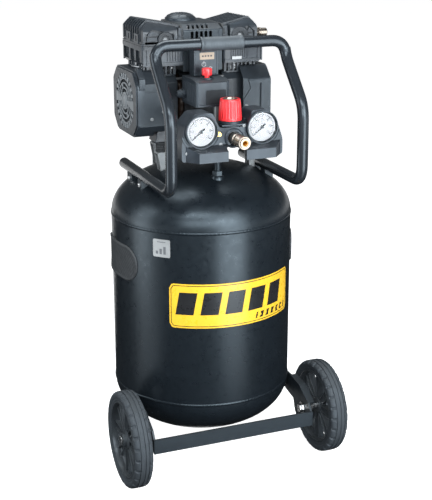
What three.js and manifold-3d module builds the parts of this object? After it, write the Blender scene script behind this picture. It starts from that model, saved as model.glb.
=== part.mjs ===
// A two-wheeled upright air compressor: a 50 litre tank with an oil-free twin-cylinder pump on top.
// Millimetres, +Z up. The origin is on the floor, under the middle of the outer box.
// -Y is the side with the gauges, the handle and the wheels.
import * as THREE from 'three';
import { mergeVertices } from 'three/addons/utils/BufferGeometryUtils.js';
import Module from 'manifold-3d';

const wasm = await Module();
wasm.setup();

// ---------------------------------------------------------------- driving dimensions

const GAP = 0.3; // clearance between pieces that touch
const TANK_AXIS_Y = 29.5; // the tank's axis, behind the middle of the outer box

const TANK_R = 180;
const TANK_WALL = 3;
const TANK_LOW = 150; // weld between the barrel and the lower end
const TANK_HIGH = 500; // weld between the barrel and the upper end
const DOME_H = 99.5;
const DOME_POWER = 2.13; // exponent of the end's superellipse
const TANK_SIDES = 36;

const WHEEL_R = 95;
const WHEEL_X = 206;
const WHEEL_Y = -144;
const TYRE_HALF = 18;
const RIM_R = 76;
const AXLE_R = 6;

const HANDLE_X = 130;
const HANDLE_Y = -190;
const HANDLE_FOOT_Z = 587;
const TUBE_R = 10.75;
const BAR_Y = -105;
const BAR_Z = 843;
const GRIP_HALF = 42;

const PUMP_Y = 48; // the motor shaft's axis
const PUMP_Z = 721;
const CYLINDER_X = 85;
const BORE_R = 27;
const CRANK_THROW = 8;
const ECCENTRIC_R = 12;
const SHAFT_R = 8;
const SHROUD_END = 140;

const GAUGE_X = { left: -65, right: 55 };
const GAUGE_Z = 695;
const GAUGE_R = 27.5;
const PANEL_FRONT = -168;
const LIP_FRONT = -190;
const KNOB_Y = -150;
const COUPLER_Z = 678;

// ---------------------------------------------------------------- materials

function finish(color, roughness, metalness) {
  return new THREE.MeshStandardMaterial({ color, roughness, metalness });
}

const paint = {
  tank: finish(0x17181a, 0.45, 0.3),
  steel: finish(0x1b1c1e, 0.5, 0.4),
  tube: finish(0x2a2c2f, 0.35, 0.5),
  plastic: finish(0x232527, 0.55, 0),
  casting: finish(0x303336, 0.5, 0.6),
  rubber: finish(0x3a3d40, 0.85, 0),
  bare: finish(0xb9bcc0, 0.3, 1),
  brass: finish(0xc9a24e, 0.3, 1),
  red: finish(0xd0181c, 0.45, 0),
  white: finish(0xf2f3f0, 0.5, 0),
  hub: finish(0x2d2f32, 0.6, 0),
};

// ---------------------------------------------------------------- geometry helpers

// One closed surface: shared corners merged, slivers dropped, faces turned outward.
function closed(geometry) {
  const bare = geometry.clone();
  bare.deleteAttribute('normal');
  bare.deleteAttribute('uv');
  const merged = mergeVertices(bare, 1e-3);
  const points = merged.getAttribute('position').array;
  const corners = merged.index.array;
  const kept = [];
  let volume = 0;
  for (let i = 0; i < corners.length; i += 3) {
    const [a, b, c] = corners.slice(i, i + 3);
    if (a === b || b === c || c === a) continue;
    kept.push(a, b, c);
    const [p, q, r] = [a, b, c].map((n) => new THREE.Vector3().fromArray(points, n * 3));
    volume += p.dot(q.cross(r));
  }
  if (volume < 0) kept.reverse();
  merged.setIndex(kept);
  return merged;
}

function toSolid(geometry) {
  const mesh = closed(geometry);
  return new wasm.Manifold(
    new wasm.Mesh({
      numProp: 3,
      vertProperties: new Float32Array(mesh.getAttribute('position').array),
      triVerts: new Uint32Array(mesh.index.array),
    }),
  );
}

function toGeometry(solid) {
  const mesh = solid.getMesh();
  const geometry = new THREE.BufferGeometry();
  geometry.setAttribute('position', new THREE.Float32BufferAttribute(mesh.vertProperties, 3));
  geometry.setIndex([...mesh.triVerts]);
  return geometry;
}

function join(...geometries) {
  return toGeometry(geometries.map(toSolid).reduce((sum, next) => sum.add(next)));
}

function cut(geometry, ...tools) {
  return toGeometry(tools.map(toSolid).reduce((rest, tool) => rest.subtract(tool), toSolid(geometry)));
}

function common(a, b) {
  return toGeometry(toSolid(a).intersect(toSolid(b)));
}

// Local X, Y and Z directions for a section drawn across each axis.
const SECTION_BASIS = {
  x: [new THREE.Vector3(0, 1, 0), new THREE.Vector3(0, 0, 1), new THREE.Vector3(1, 0, 0)],
  y: [new THREE.Vector3(1, 0, 0), new THREE.Vector3(0, 0, 1), new THREE.Vector3(0, 1, 0)],
  z: [new THREE.Vector3(1, 0, 0), new THREE.Vector3(0, 1, 0), new THREE.Vector3(0, 0, 1)],
};

// A section in the other two coordinates, carried along the axis from low to high.
function prism(axis, outline, low, high, holes = []) {
  const toVector = ([u, v]) => new THREE.Vector2(u, v);
  const shape = new THREE.Shape(outline.map(toVector));
  shape.holes = holes.map((hole) => new THREE.Path(hole.map(toVector)));
  const geometry = new THREE.ExtrudeGeometry(shape, { depth: high - low, bevelEnabled: false });
  geometry.translate(0, 0, low);
  return closed(geometry.applyMatrix4(new THREE.Matrix4().makeBasis(...SECTION_BASIS[axis])));
}

// A profile of [radius, place along the axis] turned round an axis through the given centre.
function turned(axis, [u, v], profile, sides = 24) {
  const geometry = new THREE.LatheGeometry(
    profile.map(([radius, along]) => new THREE.Vector2(radius, along)),
    sides,
  );
  const [first, second, along] = SECTION_BASIS[axis];
  geometry.applyMatrix4(new THREE.Matrix4().makeBasis(first, along, second));
  const centre = first.clone().multiplyScalar(u).add(second.clone().multiplyScalar(v));
  geometry.translate(centre.x, centre.y, centre.z);
  return closed(geometry);
}

function rod(axis, centre, radius, low, high, sides = 24) {
  return turned(axis, centre, [[0, low], [radius, low], [radius, high], [0, high]], sides);
}

function ring(axis, centre, inner, outer, low, high, sides = 24) {
  const profile = [[inner, low], [outer, low], [outer, high], [inner, high], [inner, low]];
  return turned(axis, centre, profile, sides);
}

function block([x0, x1], [y0, y1], [z0, z1]) {
  const geometry = new THREE.BoxGeometry(x1 - x0, y1 - y0, z1 - z0);
  return closed(geometry.translate((x0 + x1) / 2, (y0 + y1) / 2, (z0 + z1) / 2));
}

// A rectangle with its four corners cut off at 45 degrees.
function chamfered([u0, u1], [v0, v1], c) {
  return [
    [u0 + c, v0], [u1 - c, v0], [u1, v0 + c], [u1, v1 - c],
    [u1 - c, v1], [u0 + c, v1], [u0, v1 - c], [u0, v0 + c],
  ];
}

function circle([u, v], radius, sides) {
  const angle = (2 * Math.PI) / sides;
  return Array.from({ length: sides }, (_, i) => [
    u + radius * Math.cos(i * angle),
    v + radius * Math.sin(i * angle),
  ]);
}

// Straight runs between the corners, each corner rounded by its own radius.
function bentPath(corners) {
  const path = new THREE.CurvePath();
  const point = (i) => new THREE.Vector3(...corners[i].at);
  let start = point(0);
  for (let i = 1; i < corners.length - 1; i += 1) {
    const corner = point(i);
    const before = corner.clone().add(point(i - 1).sub(corner).setLength(corners[i].round));
    const after = corner.clone().add(point(i + 1).sub(corner).setLength(corners[i].round));
    path.add(new THREE.LineCurve3(start, before));
    path.add(new THREE.QuadraticBezierCurve3(before, corner, after));
    start = after;
  }
  path.add(new THREE.LineCurve3(start, point(corners.length - 1)));
  return path;
}

function tube(corners, radius, steps, sides) {
  const section = new THREE.Shape(circle([0, 0], radius, sides).map(([u, v]) => new THREE.Vector2(u, v)));
  const extrudePath = bentPath(corners);
  return closed(new THREE.ExtrudeGeometry(section, { steps, extrudePath, bevelEnabled: false }));
}

// The same piece on the other side of the machine.
function mirrored(geometry) {
  return closed(geometry.clone().scale(-1, 1, 1));
}

// ---------------------------------------------------------------- the assembly

const group = new THREE.Group();
group.position.y = TANK_AXIS_Y;

function add(name, geometry, material) {
  const mesh = new THREE.Mesh(geometry, material);
  mesh.name = name;
  group.add(mesh);
}

// The geometry is given for the right, +X, side; the left one is its mirror image.
function addPair(name, geometry, material) {
  add(`${name}_right`, geometry, material);
  add(`${name}_left`, mirrored(geometry), material);
}

// ---------------------------------------------------------------- tank

// Points of a quarter superellipse from the rim, at height 0, up to the crown.
function domeArc(radius, height, steps) {
  return Array.from({ length: steps + 1 }, (_, i) => {
    const angle = (i / steps) * (Math.PI / 2);
    return [
      i === steps ? 0 : radius * Math.cos(angle) ** (2 / DOME_POWER),
      height * Math.sin(angle) ** (2 / DOME_POWER),
    ];
  });
}

// The full outside of the tank grown by a margin, for fitting pieces against it.
function tankEnvelope(margin) {
  const arc = domeArc(TANK_R + margin, DOME_H + margin, 6);
  const lower = arc.map(([r, h]) => [r, TANK_LOW - h]).reverse();
  const upper = arc.map(([r, h]) => [r, TANK_HIGH + h]);
  return turned('z', [0, 0], [...lower, ...upper], TANK_SIDES);
}

const tankClearance = tankEnvelope(GAP);

function domeShell(weld, direction) {
  const outer = domeArc(TANK_R, DOME_H, 6);
  const inner = domeArc(TANK_R - TANK_WALL, DOME_H - TANK_WALL, 6).reverse();
  const profile = [...outer, ...inner, outer[0]].map(([r, h]) => [r, weld + direction * (h + GAP / 2)]);
  return turned('z', [0, 0], profile, TANK_SIDES);
}

// Height of the upper end's surface at a distance from the tank's axis.
function domeTop(distance) {
  return TANK_HIGH + DOME_H * (1 - (distance / TANK_R) ** DOME_POWER) ** (1 / DOME_POWER);
}

const PORT = {
  riser: { at: [-1, -91], radius: 6.5 },
  check: { at: [60, 142], radius: 7 },
  drain: { at: [0, 0], radius: 7 },
};

function portHole({ at, radius }, low, high) {
  return rod('z', at, radius + 0.4, low, high, 12);
}

// The places of the pump's feet, at the front and back of each side, and their rubber dampers.
const DAMPER = {
  left: { front: -82, back: -60 },
  right: { front: 107, back: 80 },
  y: { front: 2, back: 94 },
  radius: 11,
  low: 625,
  high: 645,
};

// A tapered steel post welded to the tank; one of the pump's rubber dampers stands on it.
function mountPost(x, y) {
  const [top, waist, root] = [DAMPER.low - GAP, DAMPER.low - 30, domeTop(Math.hypot(x, y)) - 12];
  const [wide, narrow] = [DAMPER.radius, 6];
  const section = [
    [x - narrow, root], [x + narrow, root], [x + narrow, waist], [x + wide, top - 4], [x + wide, top],
    [x - wide, top], [x - wide, top - 4], [x - narrow, waist],
  ];
  return prism('y', section, y - wide, y + wide);
}

// A welded saddle that a foot of the handle rests in.
function handleSaddle() {
  const saddle = block([HANDLE_X - 15, HANDLE_X + 15], [-62, 62], [domeTop(160), HANDLE_FOOT_Z - 5]);
  return cut(saddle, rod('y', [HANDLE_X, HANDLE_FOOT_Z], TUBE_R + GAP, -70, 70, 16));
}

function topDome() {
  const posts = ['front', 'back'].flatMap((place) =>
    [DAMPER.left, DAMPER.right].map((side) => mountPost(side[place], DAMPER.y[place])),
  );
  const fixtures = join(...posts, handleSaddle(), mirrored(handleSaddle()));
  const shell = domeShell(TANK_HIGH, 1);
  const inside = tankEnvelope(-TANK_WALL / 2);
  const dome = join(shell, cut(fixtures, inside));
  return cut(dome, portHole(PORT.riser, 400, 700), portHole(PORT.check, 400, 590));
}

const barrel = ring('z', [0, 0], TANK_R - TANK_WALL, TANK_R, TANK_LOW, TANK_HIGH, TANK_SIDES);
add('tank_barrel', barrel, paint.tank);
add('tank_top_dome', topDome(), paint.tank);
add('tank_bottom_dome', cut(domeShell(TANK_LOW, -1), portHole(PORT.drain, 0, 100)), paint.tank);

// ---------------------------------------------------------------- tank drain

const DRAIN = { top: TANK_LOW - DOME_H, axisZ: 36, tapStart: -10.5 };

function drainValve() {
  const { at, radius } = PORT.drain;
  const [top, low] = [DRAIN.top - GAP, DRAIN.top - 26];
  const profile = [
    [0, low], [8, low], [10, low + 3], [10, top], [radius, top], [radius, top + 8], [0, top + 8],
  ];
  const bore = rod('z', at, 3, low - 1, low + 18, 10);
  return cut(turned('z', at, profile, 16), bore);
}

function drainTap() {
  const { axisZ, tapStart } = DRAIN;
  const hub = rod('y', [0, axisZ], 6, tapStart - 9, tapStart, 14);
  const wing = block([-14, 14], [tapStart - 20, tapStart - 4], [axisZ - 2, axisZ + 2]);
  return join(hub, wing);
}

add('drain_valve_body', drainValve(), paint.brass);
add('drain_tap', drainTap(), paint.brass);

// ---------------------------------------------------------------- undercarriage and wheels

const PLATE_X = 166; // inner face of each wheel bracket
const PLATE = 4;
const CROSSBAR = { y0: -185, y1: -181, z0: 73, z1: 103 };

// One bracket: a plate from the tank's side down to the axle, its upper edge folded outward.
function wheelBracket() {
  const { y1, z0, z1 } = CROSSBAR;
  const upperEdge = [[y1, z1 - 1], [-170, 117], [-128, 139], [-85, 145], [-24, 147]];
  const lowerEdge = [[-24, 114], [-72, 104], [-101, 99], [-112, z0 + 1], [y1, z0 + 1]];
  const plate = prism('x', [...upperEdge, ...lowerEdge], PLATE_X, PLATE_X + PLATE);
  const fold = upperEdge.slice(1, 4);
  const flange = [...fold, ...fold.map(([y, z]) => [y + 2, z - PLATE]).reverse()];
  const welded = join(plate, prism('x', flange, PLATE_X + 1, PLATE_X + 15));
  return cut(welded, rod('x', [WHEEL_Y, WHEEL_R], AXLE_R + GAP, 150, 190, 12), tankClearance);
}

function undercarriage() {
  const { y0, y1, z0, z1 } = CROSSBAR;
  const bar = block([-PLATE_X - PLATE, PLATE_X + PLATE], [y0, y1 + 1], [z0, z1]);
  return join(bar, wheelBracket(), mirrored(wheelBracket()));
}

// The bolt's head is on the inner side; a shoulder spaces the hub from the bracket.
function axleBolt() {
  const head = prism('x', circle([WHEEL_Y, WHEEL_R], 9.5, 6), PLATE_X - 8, PLATE_X - GAP);
  const shoulder = rod('x', [WHEEL_Y, WHEEL_R], 8, PLATE_X + PLATE + GAP, WHEEL_X - 9, 12);
  const stem = rod('x', [WHEEL_Y, WHEEL_R], AXLE_R, PLATE_X - 1, WHEEL_X + 17, 12);
  const cap = rod('x', [WHEEL_Y, WHEEL_R], 10, WHEEL_X + 16.6, WHEEL_X + 20, 12);
  return join(head, shoulder, stem, cap);
}

function tyre() {
  const shoulderR = WHEEL_R - 4;
  const profile = [
    [RIM_R, -15], [RIM_R + 6, -TYRE_HALF], [shoulderR - 2, -TYRE_HALF], [WHEEL_R, -TYRE_HALF + 6],
    [WHEEL_R, TYRE_HALF - 6], [shoulderR - 2, TYRE_HALF], [RIM_R + 6, TYRE_HALF], [RIM_R, 15], [RIM_R, -15],
  ];
  return turned('x', [WHEEL_Y, WHEEL_R], profile.map(([r, x]) => [r, WHEEL_X + x]), 32);
}

// A moulded wheel: rim, boss and a web with eight windows that leave its spokes.
function wheelHub() {
  const centre = [WHEEL_Y, WHEEL_R];
  const [windows, inner, outer, halfSpoke] = [8, 19, 67, 5];
  const holes = Array.from({ length: windows }, (_, i) => {
    const middle = ((i + 0.5) * 2 * Math.PI) / windows;
    const spread = (r) => Math.PI / windows - Math.asin(halfSpoke / r);
    const corner = (r, share) => {
      const angle = middle + share * spread(r);
      return [centre[0] + r * Math.cos(angle), centre[1] + r * Math.sin(angle)];
    };
    return [corner(inner, -1), corner(outer, -1), corner(outer + 3, 0), corner(outer, 1), corner(inner, 1)];
  });
  const web = prism('x', circle(centre, outer + 5, 24), WHEEL_X - 6, WHEEL_X + 8, holes);
  const rim = ring('x', centre, outer + 4, RIM_R - GAP, WHEEL_X - 14.5, WHEEL_X + 14.5, 32);
  const boss = rod('x', centre, 17, WHEEL_X - 8.5, WHEEL_X + 16.2, 16);
  return cut(join(web, rim, boss), rod('x', centre, AXLE_R + GAP, WHEEL_X - 20, WHEEL_X + 20, 12));
}

add('undercarriage_frame', undercarriage(), paint.steel);
addPair('axle_bolt', axleBolt(), paint.bare);
addPair('tyre', tyre(), paint.rubber);
addPair('wheel_hub', wheelHub(), paint.hub);

// ---------------------------------------------------------------- rear leg

const LEG = { halfWidth: 32, front: 112, back: 154, soleZ: 14 };

function rearLeg() {
  const { halfWidth, front, back, soleZ } = LEG;
  const side = [[front, soleZ], [back, soleZ], [back, 112], [front + 14, 96]];
  const folded = prism('x', side, -halfWidth, halfWidth);
  const hollow = block([-halfWidth + 4, halfWidth - 4], [front - 1, back - 4], [soleZ + 4, 200]);
  return cut(folded, hollow, tankClearance);
}

function rearFoot() {
  const { halfWidth, front, back, soleZ } = LEG;
  const outline = chamfered([-halfWidth - 2, halfWidth + 2], [front - 2, back + 2], 8);
  return prism('z', outline, 0, soleZ - GAP);
}

add('rear_leg', rearLeg(), paint.steel);
add('rear_foot', rearFoot(), paint.rubber);

// ---------------------------------------------------------------- handle

function handleFrame() {
  const side = [
    { at: [HANDLE_X, 93, HANDLE_FOOT_Z] },
    { at: [HANDLE_X, HANDLE_Y, HANDLE_FOOT_Z], round: 34 },
    { at: [HANDLE_X, HANDLE_Y, 730], round: 26 },
    { at: [HANDLE_X, BAR_Y - 6, 814], round: 16 },
    { at: [HANDLE_X - 2, BAR_Y, BAR_Z], round: 26 },
  ];
  const other = side.map(({ at: [x, y, z], round }) => ({ at: [-x, y, z], round })).reverse();
  return tube([...side, ...other], TUBE_R, 64, 8);
}

function handleGrip() {
  const [inner, body, collar] = [TUBE_R + GAP, 12.6, 13.4];
  const profile = [
    [inner, -GRIP_HALF], [collar, -GRIP_HALF], [collar, -GRIP_HALF + 4], [body, -GRIP_HALF + 5],
    [body, GRIP_HALF - 5], [collar, GRIP_HALF - 4], [collar, GRIP_HALF], [inner, GRIP_HALF],
    [inner, -GRIP_HALF],
  ];
  return turned('x', [BAR_Y, BAR_Z], profile, 20);
}

add('handle_frame', handleFrame(), paint.tube);
add('handle_grip', handleGrip(), paint.rubber);

// ---------------------------------------------------------------- side pads

const PAD = { halfArc: 26, z0: 386, z1: 457, thick: 3.5 };

function sidePad() {
  const radius = (PAD.z1 - PAD.z0) / 2;
  const reach = TANK_R * Math.sin(THREE.MathUtils.degToRad(PAD.halfArc)) - radius;
  const middle = (PAD.z0 + PAD.z1) / 2;
  const ends = circle([0, 0], radius, 20).map(([u, v]) => [u + Math.sign(u + 0.01) * reach, v + middle]);
  const [inner, outer] = [TANK_R + 0.5, TANK_R + PAD.thick];
  const skin = ring('z', [0, 0], inner, outer, PAD.z0 - 5, PAD.z1 + 5, TANK_SIDES);
  return common(skin, prism('x', ends, 120, 200));
}

addPair('side_pad', sidePad(), paint.rubber);

// ---------------------------------------------------------------- motor

const CENTRE = [PUMP_Y, PUMP_Z];
const CASE = { near: 48, far: 120, half: 50, bore: 44 }; // each crankcase, for the +X side
const MOTOR = { statorR: 57, boreR: 36, rotorR: 35, rotorHalf: 40 };
const FAN = { near: 123, far: 134, hubR: 15, tipR: 50, blades: 7 };

function motorShaft() {
  const shaft = rod('x', CENTRE, SHAFT_R, -135, 135, 14);
  const eccentric = (side) => {
    const x = side * CYLINDER_X;
    return rod('x', [PUMP_Y + side * CRANK_THROW, PUMP_Z], ECCENTRIC_R, x - 7, x + 7, 14);
  };
  return join(shaft, eccentric(1), eccentric(-1));
}

function fan() {
  const { near, far, hubR, tipR, blades } = FAN;
  const hub = ring('x', CENTRE, SHAFT_R + GAP, hubR, near, far, 14);
  const blade = (i) => {
    const geometry = block([near + 1, far - 1], [hubR - 1, tipR], [-1.5, 1.5]);
    geometry.rotateX((i * 2 * Math.PI) / blades);
    return geometry.translate(0, PUMP_Y, PUMP_Z);
  };
  return join(hub, ...Array.from({ length: blades }, (_, i) => blade(i)));
}

const { statorR, boreR, rotorR, rotorHalf } = MOTOR;
add('stator_core', ring('x', CENTRE, boreR, statorR, -CASE.near + GAP, CASE.near - GAP, 24), paint.casting);
add('rotor', ring('x', CENTRE, SHAFT_R + GAP, rotorR, -rotorHalf, rotorHalf, 16), paint.bare);
add('motor_shaft', motorShaft(), paint.bare);
addPair('fan', fan(), paint.plastic);

// ---------------------------------------------------------------- crankcases, cylinders, pistons

const DECK_Z = PUMP_Z + CASE.half; // top of each crankcase
const BLOCK = { low: 793.7, high: 835.7, front: -20, back: 100, inner: 40.5, wall: 4, roof: 5 };
const BLOCK_END = { left: 125.5, right: 123 }; // distance of each outer face from the machine's middle
const HEAD_END = { left: 124, right: 112 };
const SLEEVE = { radius: 32, low: 752, collarHalf: 43, clearance: 1.4 };

// A cast crankcase, open towards its fan, with two feet that stand on the dampers at the given X.
function crankcase(frontX, backX) {
  const { near, far, half, bore } = CASE;
  const shell = prism('x', chamfered([PUMP_Y - half, PUMP_Y + half], [PUMP_Z - half, DECK_Z], 12), near, far);
  const [sole, root] = [DAMPER.high + GAP, PUMP_Z - half + 2];
  const foot = (x, y0, y1) => {
    const inner = Math.max(x - 16, near);
    return prism('y', [[inner, sole], [x + 16, sole], [x + 10, root], [inner, root]], y0, y1);
  };
  const { front, back } = DAMPER.y;
  const feet = [foot(frontX, front - 12, front + 28), foot(backX, back - 28, back + 12)];
  return cut(
    join(shell, ...feet),
    rod('x', CENTRE, bore, near + 8, far + 1, 20),
    rod('x', CENTRE, SHAFT_R + 0.6, near - 1, near + 9, 16),
    rod('z', [CYLINDER_X, PUMP_Y], SLEEVE.radius + SLEEVE.clearance, PUMP_Z + 20, DECK_Z + 1, 20),
  );
}

// A cylinder: the sleeve reaches down into the crankcase, the block above it is hollow.
function cylinder(outer) {
  const { low, high, front, back, inner, wall, roof } = BLOCK;
  const { radius, collarHalf } = SLEEVE;
  const middle = [CYLINDER_X, PUMP_Y];
  const sleeve = rod('z', middle, radius, SLEEVE.low, high - 1, 20);
  const collar = block(
    [CYLINDER_X - radius - 1, CYLINDER_X + radius + 1], [PUMP_Y - collarHalf, PUMP_Y + collarHalf],
    [DECK_Z + GAP, DECK_Z + 5],
  );
  const outside = prism('z', chamfered([inner, outer], [front, back], 6), low, high);
  const room = block([inner + wall, outer - wall], [front + wall, back - wall], [low - 1, high - roof]);
  const hollow = cut(room, rod('z', middle, radius + 2, low - 2, high + 1, 16));
  const bore = rod('z', middle, BORE_R, SLEEVE.low - 1, high + 1, 20);
  return cut(join(cut(outside, hollow), sleeve, collar), bore);
}

const HEAD = { high: 880, slope: 13, ridge: 14, fins: 5, finFront: 16, finPitch: 13 };

// A hollow head: its roof climbs outward to a chamfered end with cooling slots across it.
function cylinderHead(end) {
  const { front, back, inner } = BLOCK;
  const { high, slope, ridge, fins, finFront, finPitch } = HEAD;
  const [low, eaves] = [BLOCK.high + GAP, high - slope];
  const section = [[inner, low], [inner, eaves], [end - ridge, high], [end, eaves], [end, low]];
  const outside = prism('y', section, front, back);
  const browSection = [[front - 1, eaves - 4], [front + 16, high + 1], [front - 1, high + 1]];
  const brow = prism('x', browSection, inner - 1, end + 1);
  const inside = block([inner + 5, end - ridge - 6], [front + 6, back - 6], [low - 1, eaves - 5]);
  const slots = Array.from({ length: fins }, (_, i) => {
    const y = finFront + i * finPitch;
    return block([end - ridge, end + 1], [y, y + 3], [eaves - 12, high + 1]);
  });
  return cut(outside, brow, inside, ...slots);
}

// A wobble piston: crown and rod in one, its big end opened so that it clears the eccentric all round.
function piston() {
  const crown = rod('z', [CYLINDER_X, PUMP_Y], BORE_R - 0.6, 815, 827, 20);
  const bigEnd = ring('x', CENTRE, 29, 32.5, CYLINDER_X - 6, CYLINDER_X + 6, 20);
  const stem = block([CYLINDER_X - 5, CYLINDER_X + 5], [PUMP_Y - 7, PUMP_Y + 7], [PUMP_Z + 29.5, 816]);
  return join(crown, bigEnd, stem);
}

add('crankcase_right', crankcase(DAMPER.right.front, DAMPER.right.back), paint.casting);
add('crankcase_left', mirrored(crankcase(-DAMPER.left.front, -DAMPER.left.back)), paint.casting);
add('cylinder_right', cylinder(BLOCK_END.right), paint.casting);
add('cylinder_left', mirrored(cylinder(BLOCK_END.left)), paint.casting);
add('cylinder_head_right', cylinderHead(HEAD_END.right), paint.casting);
add('cylinder_head_left', mirrored(cylinderHead(HEAD_END.left)), paint.casting);
addPair('piston', piston(), paint.bare);

// ---------------------------------------------------------------- fan shrouds and covers

const SHROUD = { inner: 80, halfY: 75, halfZ: 64, wall: 3, corner: 25 };

function shroudSection(inset) {
  const { halfY, halfZ, corner } = SHROUD;
  const y = [PUMP_Y - halfY + inset, PUMP_Y + halfY - inset];
  const z = [PUMP_Z - halfZ + inset, PUMP_Z + halfZ - inset];
  return chamfered(y, z, corner - inset * 0.6);
}

// A moulded shroud round the crankcase and fan, its end wall a grille of radial slots.
// Its floor is open round the crankcase's feet.
function fanShroud(footX) {
  const { inner, wall, halfZ } = SHROUD;
  const outside = prism('x', shroudSection(0), inner, SHROUD_END);
  const inside = prism('x', shroudSection(wall), inner - 1, SHROUD_END - wall);
  const slots = Array.from({ length: 20 }, (_, i) => {
    const slot = block([SHROUD_END - 10, SHROUD_END + 1], [24, 54], [-2.2, 2.2]);
    return slot.rotateX((i * Math.PI) / 10).translate(0, PUMP_Y, PUMP_Z);
  });
  const roofGap = block([inner - 1, 123], [PUMP_Y - 46, PUMP_Y + 46], [PUMP_Z + 40, PUMP_Z + halfZ + 1]);
  const floorGap = block(
    [inner - 1, footX + 18], [DAMPER.y.front - 14, DAMPER.y.back + 14], [PUMP_Z - halfZ - 1, PUMP_Z - 40],
  );
  return cut(outside, inside, roofGap, floorGap, ...slots);
}

const FILTER = { at: [-9, 86], radius: 31 };

function topCover() {
  const [x, front, back, low, high] = [40, -15, 118, 780, 868];
  const section = (inset) => [
    [front + inset, low], [front + inset, high - 6 - inset], [front + 18 + inset / 2, high - inset],
    [back - inset, high - inset], [back - inset, low],
  ];
  const inside = prism('x', section(3).map(([y, z]) => [y, z === low ? low - 1 : z]), -x + 3, x - 3);
  const louvres = [-24, -15, -6, 3, 12].map((u) => block([u, u + 5], [front - 1, front + 4], [843, 857]));
  const breather = rod('z', FILTER.at, 22, high - 10, high + 1, 16);
  return cut(prism('x', section(0), -x, x), inside, breather, ...louvres);
}

function filterCap() {
  const low = 868 + GAP;
  const { at, radius } = FILTER;
  const outer = [[radius, low], [radius, low + 5], [radius - 7, low + 11.5], [0, low + 15]];
  const inner = [[0, low + 12.5], [radius - 8, low + 9], [radius - 2.5, low], [radius, low]];
  return turned('z', at, [...outer, ...inner], 24);
}

add('fan_shroud_right', fanShroud(DAMPER.right.front), paint.plastic);
add('fan_shroud_left', mirrored(fanShroud(-DAMPER.left.front)), paint.plastic);
add('top_cover', topCover(), paint.plastic);
add('intake_filter_cap', filterCap(), paint.plastic);

// ---------------------------------------------------------------- discharge line

const DISCHARGE = { y: 0, z: 847, end: 139, pipeX: 129, pipeR: 5, backY: 142, pipeLow: 602 };

function dischargeFitting() {
  const { y, z, end } = DISCHARGE;
  const hex = prism('x', circle([y, z], 9.5, 6), HEAD_END.right + GAP, 122);
  return join(hex, rod('x', [y, z], 8, 121, end, 16));
}

function dischargePipe() {
  const { y, z, pipeX, pipeR, backY, pipeLow } = DISCHARGE;
  const [checkX] = PORT.check.at;
  const corners = [
    { at: [pipeX, y + 8 + GAP, z] },
    { at: [pipeX, backY, z], round: 24 },
    { at: [checkX, backY, 760], round: 28 },
    { at: [checkX, backY, pipeLow] },
  ];
  return tube(corners, pipeR, 22, 8);
}

function checkValve() {
  const { at, radius } = PORT.check;
  const shank = rod('z', at, radius, domeTop(154) - 8, domeTop(154) + 8, 12);
  const shoulder = DISCHARGE.pipeLow - 14;
  const body = cut(prism('z', circle(at, 12, 6), domeTop(158), shoulder), tankClearance);
  return join(shank, body, rod('z', at, 9, shoulder - 1, DISCHARGE.pipeLow - GAP, 16));
}

add('discharge_fitting', dischargeFitting(), paint.bare);
add('discharge_pipe', dischargePipe(), paint.bare);
add('check_valve', checkValve(), paint.brass);

// ---------------------------------------------------------------- rubber dampers

const DAMPER_PROFILE = [[0, 0], [1, 0], [0.8, 0.5], [1, 1], [0, 1]];

for (const place of ['front', 'back']) {
  for (const side of ['left', 'right']) {
    const height = DAMPER.high - DAMPER.low;
    const profile = DAMPER_PROFILE.map(([r, h]) => [r * DAMPER.radius, DAMPER.low + h * height]);
    const centre = [DAMPER[side][place], DAMPER.y[place]];
    add(`damper_${place}_${side}`, turned('z', centre, profile, 12), paint.rubber);
  }
}

// ---------------------------------------------------------------- control panel

// How far each side of the panel reaches from the middle, at its foot, shoulder, top and dip.
const PANEL_SIDE = {
  left: { foot: 102, shoulder: 95, top: 77, dip: 42 },
  right: { foot: 99, shoulder: 86, top: 67, dip: 36 },
};

// Front view of the panel: shoulders over the gauges, a dip under the knob.
function panelOutline(inset, bottom) {
  const half = ({ foot, shoulder, top, dip }) => [
    [foot - inset, bottom], [foot - inset, 670], [shoulder - inset, 707 - inset / 2],
    [top, 727 - inset], [dip, 727 - inset], [28 + inset, 698 - inset],
  ];
  return [...half(PANEL_SIDE.right), ...half(PANEL_SIDE.left).map(([x, z]) => [-x, z]).reverse()];
}

function lipOutline(inset) {
  const [wide, narrow] = [95 - inset, 76 - inset / 2];
  const [back, front] = [PANEL_FRONT + 1 + inset, LIP_FRONT + inset];
  return [[-wide, back], [-narrow, front], [narrow, front], [wide, back]];
}

function panelHousing() {
  const wall = 3;
  const [low, lipHigh] = [640, 663];
  const lip = prism('z', lipOutline(0), low, lipHigh);
  const shell = join(prism('y', panelOutline(0, low), PANEL_FRONT, -122), lip);
  const notch = block([-19, 17], [LIP_FRONT - 1, PANEL_FRONT + 5], [low - 10, lipHigh + 2]);
  const gaugeHoles = Object.values(GAUGE_X).map((x) => rod('y', [x, GAUGE_Z], GAUGE_R + GAP, -200, -130));
  return cut(
    shell,
    prism('y', panelOutline(wall, low - 10), PANEL_FRONT + wall, -100),
    prism('z', lipOutline(wall), low - 10, lipHigh - wall),
    notch,
    ...gaugeHoles,
    rod('z', [0, KNOB_Y], 15, 690, 705, 16),
    rod('y', [0, COUPLER_Z], 12, -180, -150, 16),
  );
}

add('panel_housing', panelHousing(), paint.plastic);

// ---------------------------------------------------------------- gauges

function gaugeCase(x) {
  const bezel = GAUGE_R + 3.5;
  const [face, flange, rim, rear] = [-170.8, PANEL_FRONT - GAP, -176, -150];
  const profile = [
    [0, rear], [GAUGE_R, rear], [GAUGE_R, flange], [bezel, flange], [bezel, rim + 1],
    [bezel - 1, rim], [GAUGE_R, rim], [GAUGE_R - 0.5, face], [0, face],
  ];
  return turned('y', [x, GAUGE_Z], profile, 24);
}

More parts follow.
